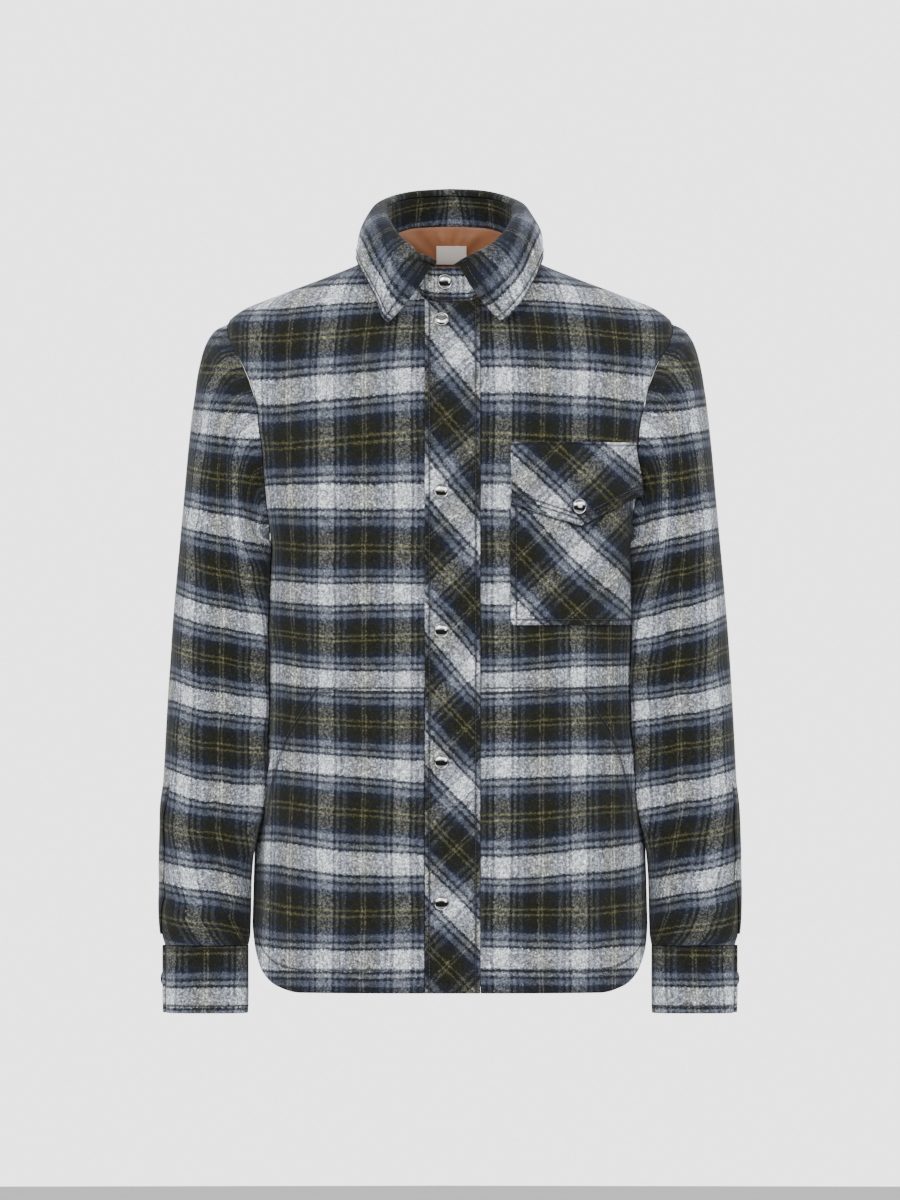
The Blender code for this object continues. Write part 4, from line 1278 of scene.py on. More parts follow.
    def press(self, grid: list[list[Vector]], stations: list[float], turns: list[float], side: Side) -> None:
        """Lays the sleeve's inner side against the body, down to where they part.

        Args:
            grid: The sleeve's rings of points, on the wearer's left.
            stations: Their stations.
            turns: Their turns, in radians.
            side: The wearer's side.
        """
        for line, station in zip(grid[1:], stations[1:]):
            reach = ease(station / 0.25) * ease((14.6 - station) / 2.2)
            for j, turn in enumerate(turns):
                at = line[j]
                weight = reach * ease((abs(turn) - 1.9) / 0.75) * ease((UNDERARM + 16.0 - at.z) / 6.0)
                if weight <= 0.0:
                    continue
                depth = (FRONT_DEPTH if at.y < 0.0 else BACK_DEPTH)(at.z)
                share = min(1.0, abs(at.y) / depth)
                round_turn = math.degrees(math.asin(share ** (ROUNDNESS / 2.0)))
                body = FORM.point(side.turned(round_turn if at.y < 0.0 else -round_turn), at.z)
                line[j] = Vector((at.x + (abs(body.x) + 0.7 - at.x) * weight, at.y, at.z))

    def build_vent(self, side: Side, wool: Material) -> None:
        """Makes and dresses the strip over one sleeve's vent.

        Args:
            side: The wearer's side.
            wool: Its finish.
        """
        rows = []
        for station in spread(12.0, 17.0, 60):
            ahead, behind = (c(station) for c in self.vent_edges)
            line = []
            for degrees in spread(behind, ahead, 14):
                turn = math.radians(degrees)
                near = math.radians(1.5)
                around = self.section(station, turn + near) - self.section(station, turn - near)
                down = self.section(station + 0.3, turn) - self.section(station - 0.3, turn)
                normal = around.cross(down).normalized()
                fold = self.fold(side, degrees, station) * ease((17.6 - station) / 1.2)
                sunk = 3.4 * (1.0 - ease((station - 12.0) / 1.1))
                at = self.section(station, turn) + normal * (0.5 - sunk + fold)
                warp = math.radians(degrees) * 58.0 / WARP_SETT + 0.12
                edge = (ahead - degrees) * 0.9 - 2.0
                line.append(Spot(side.own(at), warp, OUTER_WEFT(at.z), (edge, FAR, FAR)))
            rows.append(line)
        name = f"vent_{side.word}"
        lay(f"strip_{name}", name, rows, wool, Slot.WOOL, self.vent_cut, side, on_arm=True)

    def cuff_lift(self, degrees: float) -> float:
        """How far the cuff's outer end stands off the end that lies under it."""
        return (BAND_WALL + 2.0 * SEAM_GAP) * ease((degrees - 282.0) / 28.0)

    def cuff_point(self, degrees: float, z: float, lift: float) -> Vector:
        """Point of the cuff on the wearer's left."""
        turn = math.radians(degrees)
        half_width, half_depth = (line(z) + lift for line in self.cuff_lines)
        x = self.centre_x + half_width * power(math.cos(turn), 2.0 / ROUNDNESS)
        y = -self.forward - half_depth * power(math.sin(turn), 2.0 / ROUNDNESS)
        return Vector((x, y, z))

    def build_cuff(self, side: Side, wool: Material) -> None:
        """Makes and dresses one cuff.

        Args:
            side: The wearer's side.
            wool: Its finish.
        """
        rows = []
        for z in spread(self.cuff_low, self.cuff_top, 30):
            line = [
                side.own(self.cuff_point(degrees, z, self.cuff_lift(degrees)))
                for degrees in spread(-45.0, 355.0, 200)
            ]
            weft = 0.5 + (-687.0 - z) / WEFT_SETT
            low, top = z - self.cuff_low - self.cuff_stitch, -683.0 - z - 2.5
            rows.append([
                Spot(at, width / WARP_SETT + 0.1, weft, (low, width - 7.0, top))
                for at, width in zip(line, measured([line], 0.0)[0])
            ])
        name = f"cuff_{side.word}"
        lay(f"band_{name}", name, rows, wool, Slot.WOOL, self.cuff_cut, side, on_arm=True)


@dataclass(frozen=True)
class Snap:
    """One snap cap: a domed face in a plain raised rim, on a flat back.

    Attributes:
        radius: Of the rim.
        height: Of the dome.
        segments: Round its axis.
        groove: Radius of the groove between dome and rim, as a share of the whole, where shade is painted.
        profile: Radii and heights of its outline, as shares of the whole.
    """

    radius: float = 7.5
    height: float = 3.1
    segments: int = 40
    groove: float = 0.835
    profile: tuple[tuple[float, float], ...] = (
        (0.0, 1.0), (0.16, 0.993), (0.32, 0.965), (0.48, 0.90), (0.62, 0.79), (0.73, 0.65), (0.80, 0.50),
        (0.835, 0.44), (0.87, 0.50), (0.92, 0.545), (0.965, 0.50), (0.99, 0.38), (1.0, 0.2), (0.985, 0.05),
        (0.95, 0.0), (0.5, 0.0), (0.0, 0.0),
    )

    def mesh(self, name: str, seat: Vector, outward: Vector) -> Mesh:
        """Turns the cap's profile about its axis and puts it in place.

        Args:
            name: Name of the mesh.
            seat: Middle of its back, in millimetres.
            outward: Its axis.

        Returns:
            The mesh.
        """
        r, h = self.radius, self.height
        made = bmesh.new()
        verts = [made.verts.new((x * r * MM, 0.0, z * h * MM)) for x, z in self.profile]
        for a, b in zip(verts, verts[1:]):
            made.edges.new((a, b))
        bmesh.ops.spin(
            made, geom=made.verts[:] + made.edges[:], cent=(0.0, 0.0, 0.0), axis=(0.0, 0.0, 1.0),
            angle=math.tau, steps=self.segments, use_merge=True, use_duplicate=False,
        )
        bmesh.ops.remove_doubles(made, verts=made.verts, dist=1e-6)
        bmesh.ops.recalc_face_normals(made, faces=made.faces)
        radii = [vert.co.xy.length / (r * MM) for vert in made.verts]
        turn = outward.to_track_quat("Z", "Y").to_matrix().to_4x4()
        bmesh.ops.transform(made, matrix=Matrix.Translation(seat * MM) @ turn, verts=made.verts)
        mesh = mesh_of(made, name)
        mesh.shade_smooth()
        # Painted shade: the groove attribute marks the groove and the rim's outer edge, which the metal turns
        # almost black as a dark outline round the cap.
        groove = mesh.attributes.new("groove", "FLOAT", "POINT")
        for item, radius in zip(groove.data, radii):
            item.value = max(ease(1.0 - abs(radius - self.groove) / 0.04), ease((radius - 0.95) / 0.035))
        return mesh


@dataclass(frozen=True)
class Snaps:
    """All the snaps: stand, band, flap and cuffs.

    Attributes:
        band_x: Place across of the band's snaps.
        band_levels: Their heights.
        stand_place: x and z of the stand's snap.
        flap_place: x and z of the flap's snap.
        cuff_place: Turn and height of the cuffs' snaps.
    """

    band_x: float = -8.5
    band_levels: tuple[float, ...] = (-61.0, -230.0, -368.0, -498.0, -638.0)
    stand_place: tuple[float, float] = (-5.0, -22.0)
    flap_place: tuple[float, float] = (125.0, -245.0)
    cuff_place: tuple[float, float] = (336.0, -716.0)

    def build(self, metal: Material, collar: Collar, pocket: ChestPocket, sleeves: Sleeves) -> None:
        """Makes and dresses the snaps.

        Args:
            metal: Their finish.
            collar: Carries the first one.
            pocket: Its flap carries one.
            sleeves: Their cuffs carry one each.
        """
        snap = Snap()
        seats = []
        for number, z in enumerate(self.band_levels, start=1):
            angle = FORM.angle_at(self.band_x, z)
            seat = FORM.point(angle, z, BAND_WALL + 0.6)
            seats.append((f"snap_placket_{number}", seat, FORM.normal(angle, z)))
        x, z = self.stand_place
        angle, _ = FORM.place_at(x, NECK_SIDE)
        seam_z = FRONT_NECK(turn_of(angle))
        rise = (z - seam_z) / (collar.tab_z - seam_z)
        seats.append(("snap_stand", collar.stand_point(angle, rise, 3.5 + 1.0), Vector((0.0, -1.0, 0.0))))
        x, z = self.flap_place
        angle = FORM.angle_at(x, z)
        lift = pocket.flap_lift(z) + BAND_WALL + SEAM_GAP
        seats.append(("snap_flap", FORM.point(angle, z, lift), FORM.normal(angle, z)))
        degrees, z = self.cuff_place
        for side in Side:
            seat = sleeves.cuff_point(degrees, z, sleeves.cuff_lift(degrees) + 0.15)
            around = sleeves.cuff_point(degrees + 3.0, z, 0.0) - sleeves.cuff_point(degrees - 3.0, z, 0.0)
            outward = around.cross(Vector((0.0, 0.0, 1.0))).normalized()
            if outward.dot(seat - Vector((sleeves.centre_x, -sleeves.forward, z))) < 0.0:
                outward.negate()
            seats.append((f"snap_cuff_{side.word}", side.own(seat), side.own(outward)))
        for node, seat, outward in seats:
            add_piece(f"cap_{node}", snap.mesh(node, seat, outward), metal, Slot.METAL, node)


@dataclass(frozen=True)
class Stitching:
    """Rows of sewn stitches over the cloth.

    Attributes:
        pitch: Distance from one stitch to the next.
        length: Length of a stitch.
        radius: Of the thread.
        sunk: How deep the thread is pressed into the nap.
    """

    pitch: float = 4.2
    length: float = 3.0
    radius: float = 0.34
    sunk: float = 0.05

    def row(
        self, made: bmesh.types.BMesh, path: Sequence[Vector], outward: Callable[[Vector], Vector],
    ) -> None:
        """Sews one row.

        Args:
            made: The bmesh that takes the stitches.
            path: Its points in millimetres.
            outward: Gives the cloth's outward direction at a point.
        """
        lengths = measured([list(path)[::-1]], 0.0)[0][::-1]
        place, here = 0.5 * self.pitch, 0
        while place < lengths[-1]:
            while here < len(lengths) - 2 and lengths[here + 1] < place:
                here += 1
            start, end = path[here], path[here + 1]
            gap = max(lengths[here + 1] - lengths[here], 1e-6)
            at = start.lerp(end, min(1.0, (place - lengths[here]) / gap))
            along = (end - start).normalized()
            out = outward(at).normalized()
            side = along.cross(out).normalized()
            out = side.cross(along)
            frame_of = Matrix((side, out, along)).transposed().to_4x4()
            spot = (at + out * (self.radius - self.sunk)) * MM
            bmesh.ops.create_cone(
                made, cap_ends=True, segments=6, radius1=self.radius * MM, radius2=self.radius * MM,
                depth=self.length * MM, matrix=Matrix.Translation(spot) @ frame_of,
            )
            place += self.pitch

    def piece(
        self, name: str, rows: Sequence[tuple[Sequence[Vector], Callable[[Vector], Vector]]],
        thread: Material, slot: Slot,
    ) -> None:
        """Sews several rows as one piece."""
        made = bmesh.new()
        for path, outward in rows:
            self.row(made, path, outward)
        mesh = mesh_of(made, name)
        mesh.shade_smooth()
        add_piece(name, mesh, thread, slot)

    def body_out(self, at: Vector) -> Vector:
        """Outward direction of the body at a point of its front."""
        return FORM.normal(FORM.angle_at(at.x, at.z), at.z)

    def build(self, thread: Material, collar: Collar, pocket: ChestPocket, sleeves: Sleeves) -> None:
        """Sews every visible row.

        Args:
            thread: The thread's finish.
            collar: Its leaf is stitched.
            pocket: Stitched round its edges, and its flap twice along the point.
            sleeves: Their cuffs are stitched.
        """
        on_body = (
            ("thread_band", self.band_paths(), Slot.BIAS),
            ("thread_pocket", self.chest_paths(pocket), Slot.BIAS),
            ("thread_hand_pockets", self.hand_paths(HandPockets()), Slot.WOOL),
        )
        for name, paths, slot in on_body:
            self.piece(name, [(path, self.body_out) for path in paths], thread, slot)
        rows = [(path, self.leaf_out) for path in self.collar_paths(collar)]
        self.piece("thread_collar", rows, thread, Slot.WOOL)
        rows = []
        for side in Side:
            height = sleeves.cuff_low + sleeves.cuff_stitch
            path = [
                side.own(sleeves.cuff_point(degrees, height, sleeves.cuff_lift(degrees)))
                for degrees in spread(-40.0, 353.0, 90)
            ]
            middle = side.own(Vector((sleeves.centre_x, -sleeves.forward, 0.0)))
            rows.append((path, lambda at, axis=middle: at - Vector((axis.x, axis.y, at.z))))
        self.piece("thread_cuffs", rows, thread, Slot.WOOL)

    def band_paths(self) -> list[list[Vector]]:
        """The rows along both edges of the front band."""
        paths = []
        for x in (BAND_FREE_EDGE + FrontBand.stitch, BAND_SEAM - FrontBand.stitch):
            places = [FORM.place_at(x, side_z) for side_z in LEVELS]
            paths.append([FORM.point(angle, z, SEAM_GAP + BAND_WALL) for angle, z in places])
        return paths

    def chest_paths(self, pocket: ChestPocket) -> list[list[Vector]]:
        """The row round the chest pocket and the two along the flap's point."""
        left, low = pocket.left + pocket.stitch, pocket.bottom + pocket.stitch
        right, under_flap = pocket.right - 4.0, -236.0
        places = [(left, z) for z in spread(under_flap, low, 30)]
        places += [(x, low) for x in spread(left, right, 30)]
        places += [(right, z) for z in spread(low, under_flap, 30)]
        paths = [[overlay(x, z, self.over_pocket(pocket, x, z)) for x, z in places]]
        for inset in (pocket.stitch, pocket.second):
            path = []
            for across in spread(0.03, 0.975, 60):
                x, _, edge = pocket.flap_place(across, 1.0)
                z = edge + inset / 0.93
                path.append(overlay(x, z, pocket.flap_lift(z) + BAND_WALL + pocket.curl(x, z, edge)))
            paths.append(path)
        return paths

    def hand_paths(self, pockets: HandPockets) -> list[list[Vector]]:
        """The two rows along each hand pocket's top and the one along its mouth."""
        paths = []
        face = pockets.lift + BODY_WALL
        for flip, edge_x in ((1.0, BAND_SEAM + 2.0), (-1.0, -BAND_FREE_EDGE + 2.0)):
            for inset in (pockets.stitch, pockets.second):
                places = spread(edge_x, 134.0 + 0.5 * inset, 50)
                paths.append([overlay(flip * x, POCKET_TOP - inset, face) for x in places])
            path = []
            for side_z in spread(POCKET_TOP, -545.0, 40):
                x = pockets.mouth(side_z) - 7.0
                z = row_height(side_z, turn_of(FORM.angle_at(x, side_z)), FRONT_NECK)
                path.append(overlay(flip * x, z, face))
            paths.append(path)
        return paths

    def collar_paths(self, collar: Collar) -> list[list[Vector]]:
        """The rows along each half leaf's edge and front."""
        paths = []
        for side in (1.0, -1.0):
            sections = [collar.fall_section(station, side) for station in spread(0.02, 1.0, 120)]
            paths.append([self.inward(section, collar.stitch) for section in sections])
            first, next_in = collar.fall_section(0.0, side), collar.fall_section(0.06, side)
            paths.append([
                near + (far - near).normalized() * collar.stitch
                for near, far in zip(first[8:-1], next_in[8:-1])
            ])
        return paths

    def over_pocket(self, pocket: ChestPocket, x: float, z: float) -> float:
        """Height of the chest pocket's face over the front."""
        return pocket.lift + BODY_WALL + pocket.belly(x, z)

    def inward(self, section: Sequence[Vector], inset: float) -> Vector:
        """Point of a leaf's section at a distance from its edge."""
        total = 0.0
        for near, far in zip(section[::-1], section[-2::-1]):
            step = (far - near).length
            if total + step >= inset:
                return near.lerp(far, (inset - total) / step)
            total += step
        return section[-1]

    def leaf_out(self, at: Vector) -> Vector:
        """Outward direction of the collar's leaf."""
        return Vector((at.x * 0.8, at.y + 8.0, 38.0))


class Sockets:
    """Short ways to add and join shader nodes in one tree."""

    def __init__(self, tree: bpy.types.NodeTree) -> None:
        """Keeps the tree."""
        self.tree = tree

    def add(self, kind: str, **values: object) -> Node:
        """Adds a node and sets its properties."""
        node = self.tree.nodes.new(kind)
        for name, value in values.items():
            setattr(node, name, value)
        return node

    def join(self, source: Socket, target: Socket) -> None:
        """Links two sockets."""
        self.tree.links.new(source, target)

    def feed(self, node: Node, values: dict[int | str, object]) -> Node:
        """Gives a node's inputs, by place or name, their values or the sockets that drive them."""
        for key, value in values.items():
            if isinstance(value, Socket):
                self.join(value, node.inputs[key])
            else:
                node.inputs[key].default_value = value
        return node

    def math(self, operation: str, *inputs: object) -> Socket:
        """Adds a Math node with numbers or sockets as its inputs."""
        node = self.add("ShaderNodeMath", operation=operation)
        return self.feed(node, dict(enumerate(inputs))).outputs[0]

    def vector(self, operation: str, *inputs: object) -> Socket:
        """Adds a Vector Math node with vectors or sockets as its inputs."""
        node = self.add("ShaderNodeVectorMath", operation=operation)
        return self.feed(node, dict(enumerate(inputs))).outputs[0]

    def noise(self, vector: Socket, scale: float, detail: float, rough: float) -> Node:
        """Adds a Noise Texture of so many features a metre, with octaves and their weight."""
        values = {"Vector": vector, "Scale": scale, "Detail": detail, "Roughness": rough}
        return self.feed(self.add("ShaderNodeTexNoise"), values)

    def span(self, value: Socket, low: float, high: float, to_low: float, to_high: float) -> Socket:
        """Maps a range of values to another, held at its ends."""
        node = self.add("ShaderNodeMapRange", interpolation_type="SMOOTHSTEP")
        return self.feed(node, dict(enumerate((value, low, high, to_low, to_high)))).outputs[0]

    def mix(self, blend: str, share: object, first: object, second: object) -> Socket:
        """Mixes two colours."""
        node = self.add("ShaderNodeMix", data_type="RGBA", blend_type=blend)
        return self.feed(node, {0: share, 6: first, 7: second}).outputs[2]

    def bump(self, height: Socket, strength: float, distance: float) -> Socket:
        """Adds a Bump node."""
        values = {"Height": height, "Strength": strength, "Distance": distance}
        return self.feed(self.add("ShaderNodeBump"), values).outputs[0]

    def parts(self, vector: Socket) -> Sequence[Socket]:
        """The three numbers of a vector."""
        return self.feed(self.add("ShaderNodeSeparateXYZ"), {0: vector}).outputs


def start_finish(name: str) -> tuple[Material, Sockets, Node, Socket]:
    """A new material with its tree's helper, its shader and its object coordinates."""
    finish = bpy.data.materials.new(name)
    finish.use_nodes = True
    made = Sockets(finish.node_tree)
    place = made.add("ShaderNodeTexCoord").outputs["Object"]
    return finish, made, finish.node_tree.nodes["Principled BSDF"], place


def tone(red: int, green: int, blue: int) -> tuple[float, float, float, float]:
    """A dyed yarn's screen tone as shares of 255, which Gamma makes light again at the end."""
    return (red / 255.0, green / 255.0, blue / 255.0, 1.0)


def grey(value: float) -> tuple[float, float, float, float]:
    """A neutral colour."""
    return (value, value, value, 1.0)


def effect(
    name: str, inputs: Sequence[tuple[str, str]], outputs: Sequence[tuple[str, str]],
) -> tuple[bpy.types.NodeTree, Sockets, Node, Node]:
    """Starts a shader node group with named and typed inputs and outputs.

    Returns:
        The group, its helper, its input node and its output node.
    """
    tree = bpy.data.node_groups.new(name, "ShaderNodeTree")
    for way, sockets in (("INPUT", inputs), ("OUTPUT", outputs)):
        for word, kind in sockets:
            tree.interface.new_socket(name=word, in_out=way, socket_type=kind)
    made = Sockets(tree)
    return tree, made, made.add("NodeGroupInput"), made.add("NodeGroupOutput")


FLOAT, VECTOR, COLOUR = "NodeSocketFloat", "NodeSocketVector", "NodeSocketColor"


@dataclass(frozen=True)
class Yarns:
    """The plaid's dyed yarns and where their bands start, from the white band's middle on.

    Attributes:
        weft: Starts of the bands along the cloth, from 0 to 1.
        warp: Starts of the bands across the cloth.
        soft: Half width of a band's soft edge.
    """

    white: Tone = (190, 193, 196)
    navy: Tone = (27, 32, 45)
    pale: Tone = (126, 131, 140)
    blue: Tone = (91, 97, 113)
    green: Tone = (30, 31, 24)
    yellow: Tone = (108, 106, 52)
    black: Tone = (24, 25, 23)
    cream: Tone = (168, 166, 132)
    weft: tuple[float, ...] = (0.0, 0.225, 0.281, 0.365, 0.427, 0.551, 0.672, 0.925, 0.958)
    warp: tuple[float, ...] = (0.0, 0.21, 0.28, 0.36, 0.44, 0.55, 0.68, 0.94, 0.975)
    soft: float = 0.015

    def bands(self, starts: Sequence[float], line: Tone) -> list[tuple[float, Tone]]:
        """Starts and tones of the bands, with the thin line's own yarn."""
        order = (
            self.white, self.navy, self.pale, self.navy, self.blue, self.navy, self.green, line, self.black,
        )
        return list(zip(starts, order))


class Cloths:
    """Builds the shared effects and the finishes of the garment."""

    def __init__(self, yarns: Yarns) -> None:
        """Builds the shared effects for the plaid's yarns."""
        self.yarns = yarns
        self.plaid = self.make_plaid()
        self.channel = self.make_channel()

    def ramp(self, made: Sockets, at: Socket, bands: list[tuple[float, Tone]]) -> Socket:
        """Colour of the bands at a place, with soft edges between them."""
        node = made.feed(made.add("ShaderNodeValToRGB"), {0: at})
        line = node.color_ramp
        line.interpolation = "LINEAR"
        line.elements[0].position = 0.0
        line.elements[0].color = tone(*bands[0][1])
        line.elements[1].position = 1.0
        line.elements[1].color = tone(*bands[-1][1])
        for (_, before), (start, after) in zip(bands, bands[1:]):
            line.elements.new(start - self.yarns.soft).color = tone(*before)
            line.elements.new(start + self.yarns.soft).color = tone(*after)
        return node.outputs[0]

    def make_plaid(self) -> bpy.types.NodeTree:
        """The woven and brushed plaid: its colour and the height of its nap."""
        tree, made, given, result = effect(
            "brushed_plaid",
            (("Setts", VECTOR), ("Place", VECTOR), ("Fibre", FLOAT), ("Heather", FLOAT)),
            (("Color", COLOUR), ("Nap", FLOAT)),
        )
        place = given.outputs["Place"]
        stray = made.noise(place, 430.0, 4.0, 0.8).outputs["Color"]
        drift = made.noise(place, 6.5, 1.0, 0.5).outputs["Color"]
        pull = made.feed(
            made.add("ShaderNodeVectorMath", operation="SCALE"),
            {0: made.vector("SUBTRACT", stray, (0.5, 0.5, 0.5)), "Scale": given.outputs["Fibre"]},
        ).outputs[0]
        sway = made.vector("MULTIPLY_ADD", drift, (0.10, 0.17, 0.0), (-0.05, -0.085, 0.0))
        moved = made.vector("ADD", given.outputs["Setts"], pull)
        setts = made.parts(made.vector("ADD", moved, sway))
        yarns = self.yarns
        weft, warp = (
            self.ramp(made, made.math("MULTIPLY", made.math("PINGPONG", at, 0.5), 2.0), bands)
            for at, bands in (
                (setts[1], yarns.bands(yarns.weft, yarns.yellow)),
                (setts[0], yarns.bands(yarns.warp, yarns.cream)),
            )
        )
        fleck = made.noise(place, 430.0, 3.0, 0.75).outputs[0]
        woven = made.mix("MIX", made.span(fleck, 0.34, 0.66, 0.07, 0.53), weft, warp)
        threads = [
            made.noise(made.vector("MULTIPLY", moved, (*counts, 1.0)), 1.0, 2.0, 0.6).outputs[0]
            for counts in ((64.0, 15.0), (13.0, 74.0))
        ]
        patch = made.noise(place, 150.0, 3.0, 0.6).outputs[0]
        fibres = made.noise(place, 520.0, 4.0, 0.8).outputs[0]
        heather = made.math("MULTIPLY", made.math("SUBTRACT", made.math("ADD", *threads), 1.0), 1.15)
        for noise, weight in ((fibres, 2.3), (patch, 0.5)):
            part = made.math("MULTIPLY", made.math("SUBTRACT", noise, 0.5), weight)
            heather = made.math("ADD", heather, part)
        change = made.math("ADD", made.math("MULTIPLY", heather, given.outputs["Heather"]), 1.0)
        level = made.feed(made.add("ShaderNodeCombineColor"), {0: change, 1: change, 2: change}).outputs[0]
        shaded = made.mix("MULTIPLY", 1.0, woven, level)
        lint = made.span(made.noise(place, 560.0, 2.0, 0.6).outputs[0], 0.60, 0.76, 0.0, 0.30)
        linted = made.mix("MIX", lint, shaded, tone(150, 152, 148))
        made.join(self.lighten(made, linted), result.inputs["Color"])
        nap = made.math("ADD", made.math("MULTIPLY", fibres, 0.6), made.math("MULTIPLY", patch, 0.9))
        made.join(nap, result.inputs["Nap"])
        return tree

    def lighten(self, made: Sockets, screen: Socket) -> Socket:
        """Turns a screen tone into the cloth's own reflectance."""
        parts = []
        for exponent, weight in ((1.74, 0.55), (6.0, 1.7)):
            bent = made.feed(made.add("ShaderNodeGamma"), {0: screen, 1: exponent}).outputs[0]
            parts.append(made.mix("MULTIPLY", 1.0, bent, grey(weight)))
        return made.mix("ADD", 1.0, *parts)

    def make_channel(self) -> bpy.types.NodeTree:
        """The pressed-in channel of up to three sewn lines, or of the edge under the chest pocket's flap: its
        painted shade and its depth.
        """
        tree, made, given, result = effect(
            "sewn_channel", (("Seams", VECTOR), ("Width", FLOAT)), (("Shade", FLOAT), ("Depth", FLOAT)),
        )
        away = [made.math("ABSOLUTE", part) for part in made.parts(given.outputs["Seams"])]
        nearest = made.math("MINIMUM", made.math("MINIMUM", away[0], away[1]), away[2])
        ratio = made.math("DIVIDE", nearest, given.outputs["Width"])
        made.join(made.span(ratio, 0.0, 1.0, 1.0, 0.0), result.inputs["Shade"])
        made.join(made.span(ratio, 0.0, 1.6, -1.0, 0.0), result.inputs["Depth"])
        return tree

    def channel_in(self, made: Sockets, width: float) -> Node:
        """Adds the sewn channel to a material, of a half width in millimetres."""
        seams = made.add("ShaderNodeAttribute", attribute_name="seams").outputs["Vector"]
        group = made.add("ShaderNodeGroup", node_tree=self.channel)
        return made.feed(group, {"Seams": seams, "Width": width})

    def wool(self, name: str, fibre: float, heather: float) -> Material:
        """The brushed wool.

        Args:
            name: The material's name.
            fibre: How far stray fibres blur the plaid, in setts.
            heather: Strength of its uneven tone.

        Returns:
            The material.
        """
        finish, made, shader, place = start_finish(name)
        setts = made.add("ShaderNodeUVMap", uv_map="plaid").outputs[0]
        plaid = made.feed(
            made.add("ShaderNodeGroup", node_tree=self.plaid),
            {"Setts": setts, "Place": place, "Fibre": fibre, "Heather": heather},
        )
        channel = self.channel_in(made, 2.1)
        # Painted shade: the channel darkens the base colour towards near black along the sewn lines and below
        # the chest pocket's flap.
        shade = made.math("MULTIPLY", channel.outputs["Shade"], 0.78)
        nap = made.math("MULTIPLY", plaid.outputs["Nap"], 0.55)
        made.feed(shader, {
            "Base Color": made.mix("MIX", shade, plaid.outputs["Color"], (0.012, 0.013, 0.018, 1.0)),
            "Normal": made.bump(made.math("ADD", nap, channel.outputs["Depth"]), 0.55, 0.0016),
            "Roughness": 0.93, "Specular IOR Level": 0.18, "Sheen Weight": 0.12, "Sheen Roughness": 0.55,
            "Sheen Tint": (0.75, 0.79, 0.86, 1.0),
        })
        return finish

    def lining(self) -> Material:
        """The smooth tan lining, with a fine weave and faint drag shades."""
        finish, made, shader, place = start_finish("lining")
        broad = made.noise(place, 26.0, 3.0, 0.55).outputs[0]
        fine = made.noise(place, 1400.0, 2.0, 0.6).outputs[0]
        share = made.span(broad, 0.3, 0.7, 0.0, 1.0)
        colour = made.mix("MIX", share, (0.285, 0.108, 0.046, 1.0), (0.42, 0.165, 0.070, 1.0))
        made.feed(shader, {
            "Base Color": made.mix("MULTIPLY", made.span(fine, 0.3, 0.7, 0.0, 0.16), colour, grey(0.6)),
            "Roughness": made.span(broad, 0.3, 0.7, 0.38, 0.52),
            "Normal": made.bump(fine, 0.25, 0.0003), "Sheen Weight": 0.1,
        })
        return finish

    def label(self) -> Material:
        """The blank cream label: fine ribs and a stitched edge."""
        finish, made, shader, place = start_finish("label")
        ribs = made.add("ShaderNodeTexWave", wave_type="BANDS", bands_direction="Z")
        made.feed(ribs, {"Scale": 420.0, "Vector": place})
        channel = self.channel_in(made, 0.6)
        share = made.span(made.noise(place, 2200.0, 2.0, 0.6).outputs[0], 0.3, 0.7, 0.0, 1.0)
        base = made.mix("MIX", share, (0.86, 0.78, 0.70, 1.0), (0.95, 0.89, 0.82, 1.0))
        shade = made.math("MULTIPLY", channel.outputs["Shade"], 0.25)
        height = made.math("ADD", ribs.outputs["Fac"], channel.outputs["Depth"])
        made.feed(shader, {
            "Base Color": made.mix("MIX", shade, base, (0.5, 0.42, 0.36, 1.0)),
            "Normal": made.bump(height, 0.3, 0.0003), "Roughness": 0.7,
        })
        return finish

    def metal(self) -> Material:
        """The polished caps, with faint handling marks, and painted shade in the groove and round the rim's
        edge.
        """
        finish, made, shader, place = start_finish("snap_metal")
        marks = made.noise(place, 900.0, 3.0, 0.6).outputs[0]
        share = made.span(made.noise(place, 240.0, 2.0, 0.5).outputs[0], 0.35, 0.65, 0.0, 1.0)
        clean = made.mix("MIX", share, (0.76, 0.76, 0.77, 1.0), (0.90, 0.90, 0.91, 1.0))
        groove = made.add("ShaderNodeAttribute", attribute_name="groove").outputs["Fac"]
        rough = made.span(marks, 0.3, 0.7, 0.05, 0.15)
        # Painted shade: where the groove attribute is set, the base colour goes almost black.
        made.feed(shader, {
            "Base Color": made.mix("MIX", groove, clean, (0.07, 0.07, 0.08, 1.0)),
            "Roughness": made.math("ADD", rough, made.math("MULTIPLY", groove, 0.3)), "Metallic": 1.0,
        })
        return finish

    def thread(self) -> Material:
        """The sewing thread, dark blue-grey with a lighter twist."""
        finish, made, shader, place = start_finish("thread")
        share = made.span(made.noise(place, 1500.0, 2.0, 0.6).outputs[0], 0.35, 0.65, 0.0, 1.0)
        colour = made.mix("MIX", share, (0.035, 0.038, 0.045, 1.0), (0.11, 0.115, 0.12, 1.0))
        made.feed(shader, {"Base Color": colour, "Roughness": 0.6})
        return finish


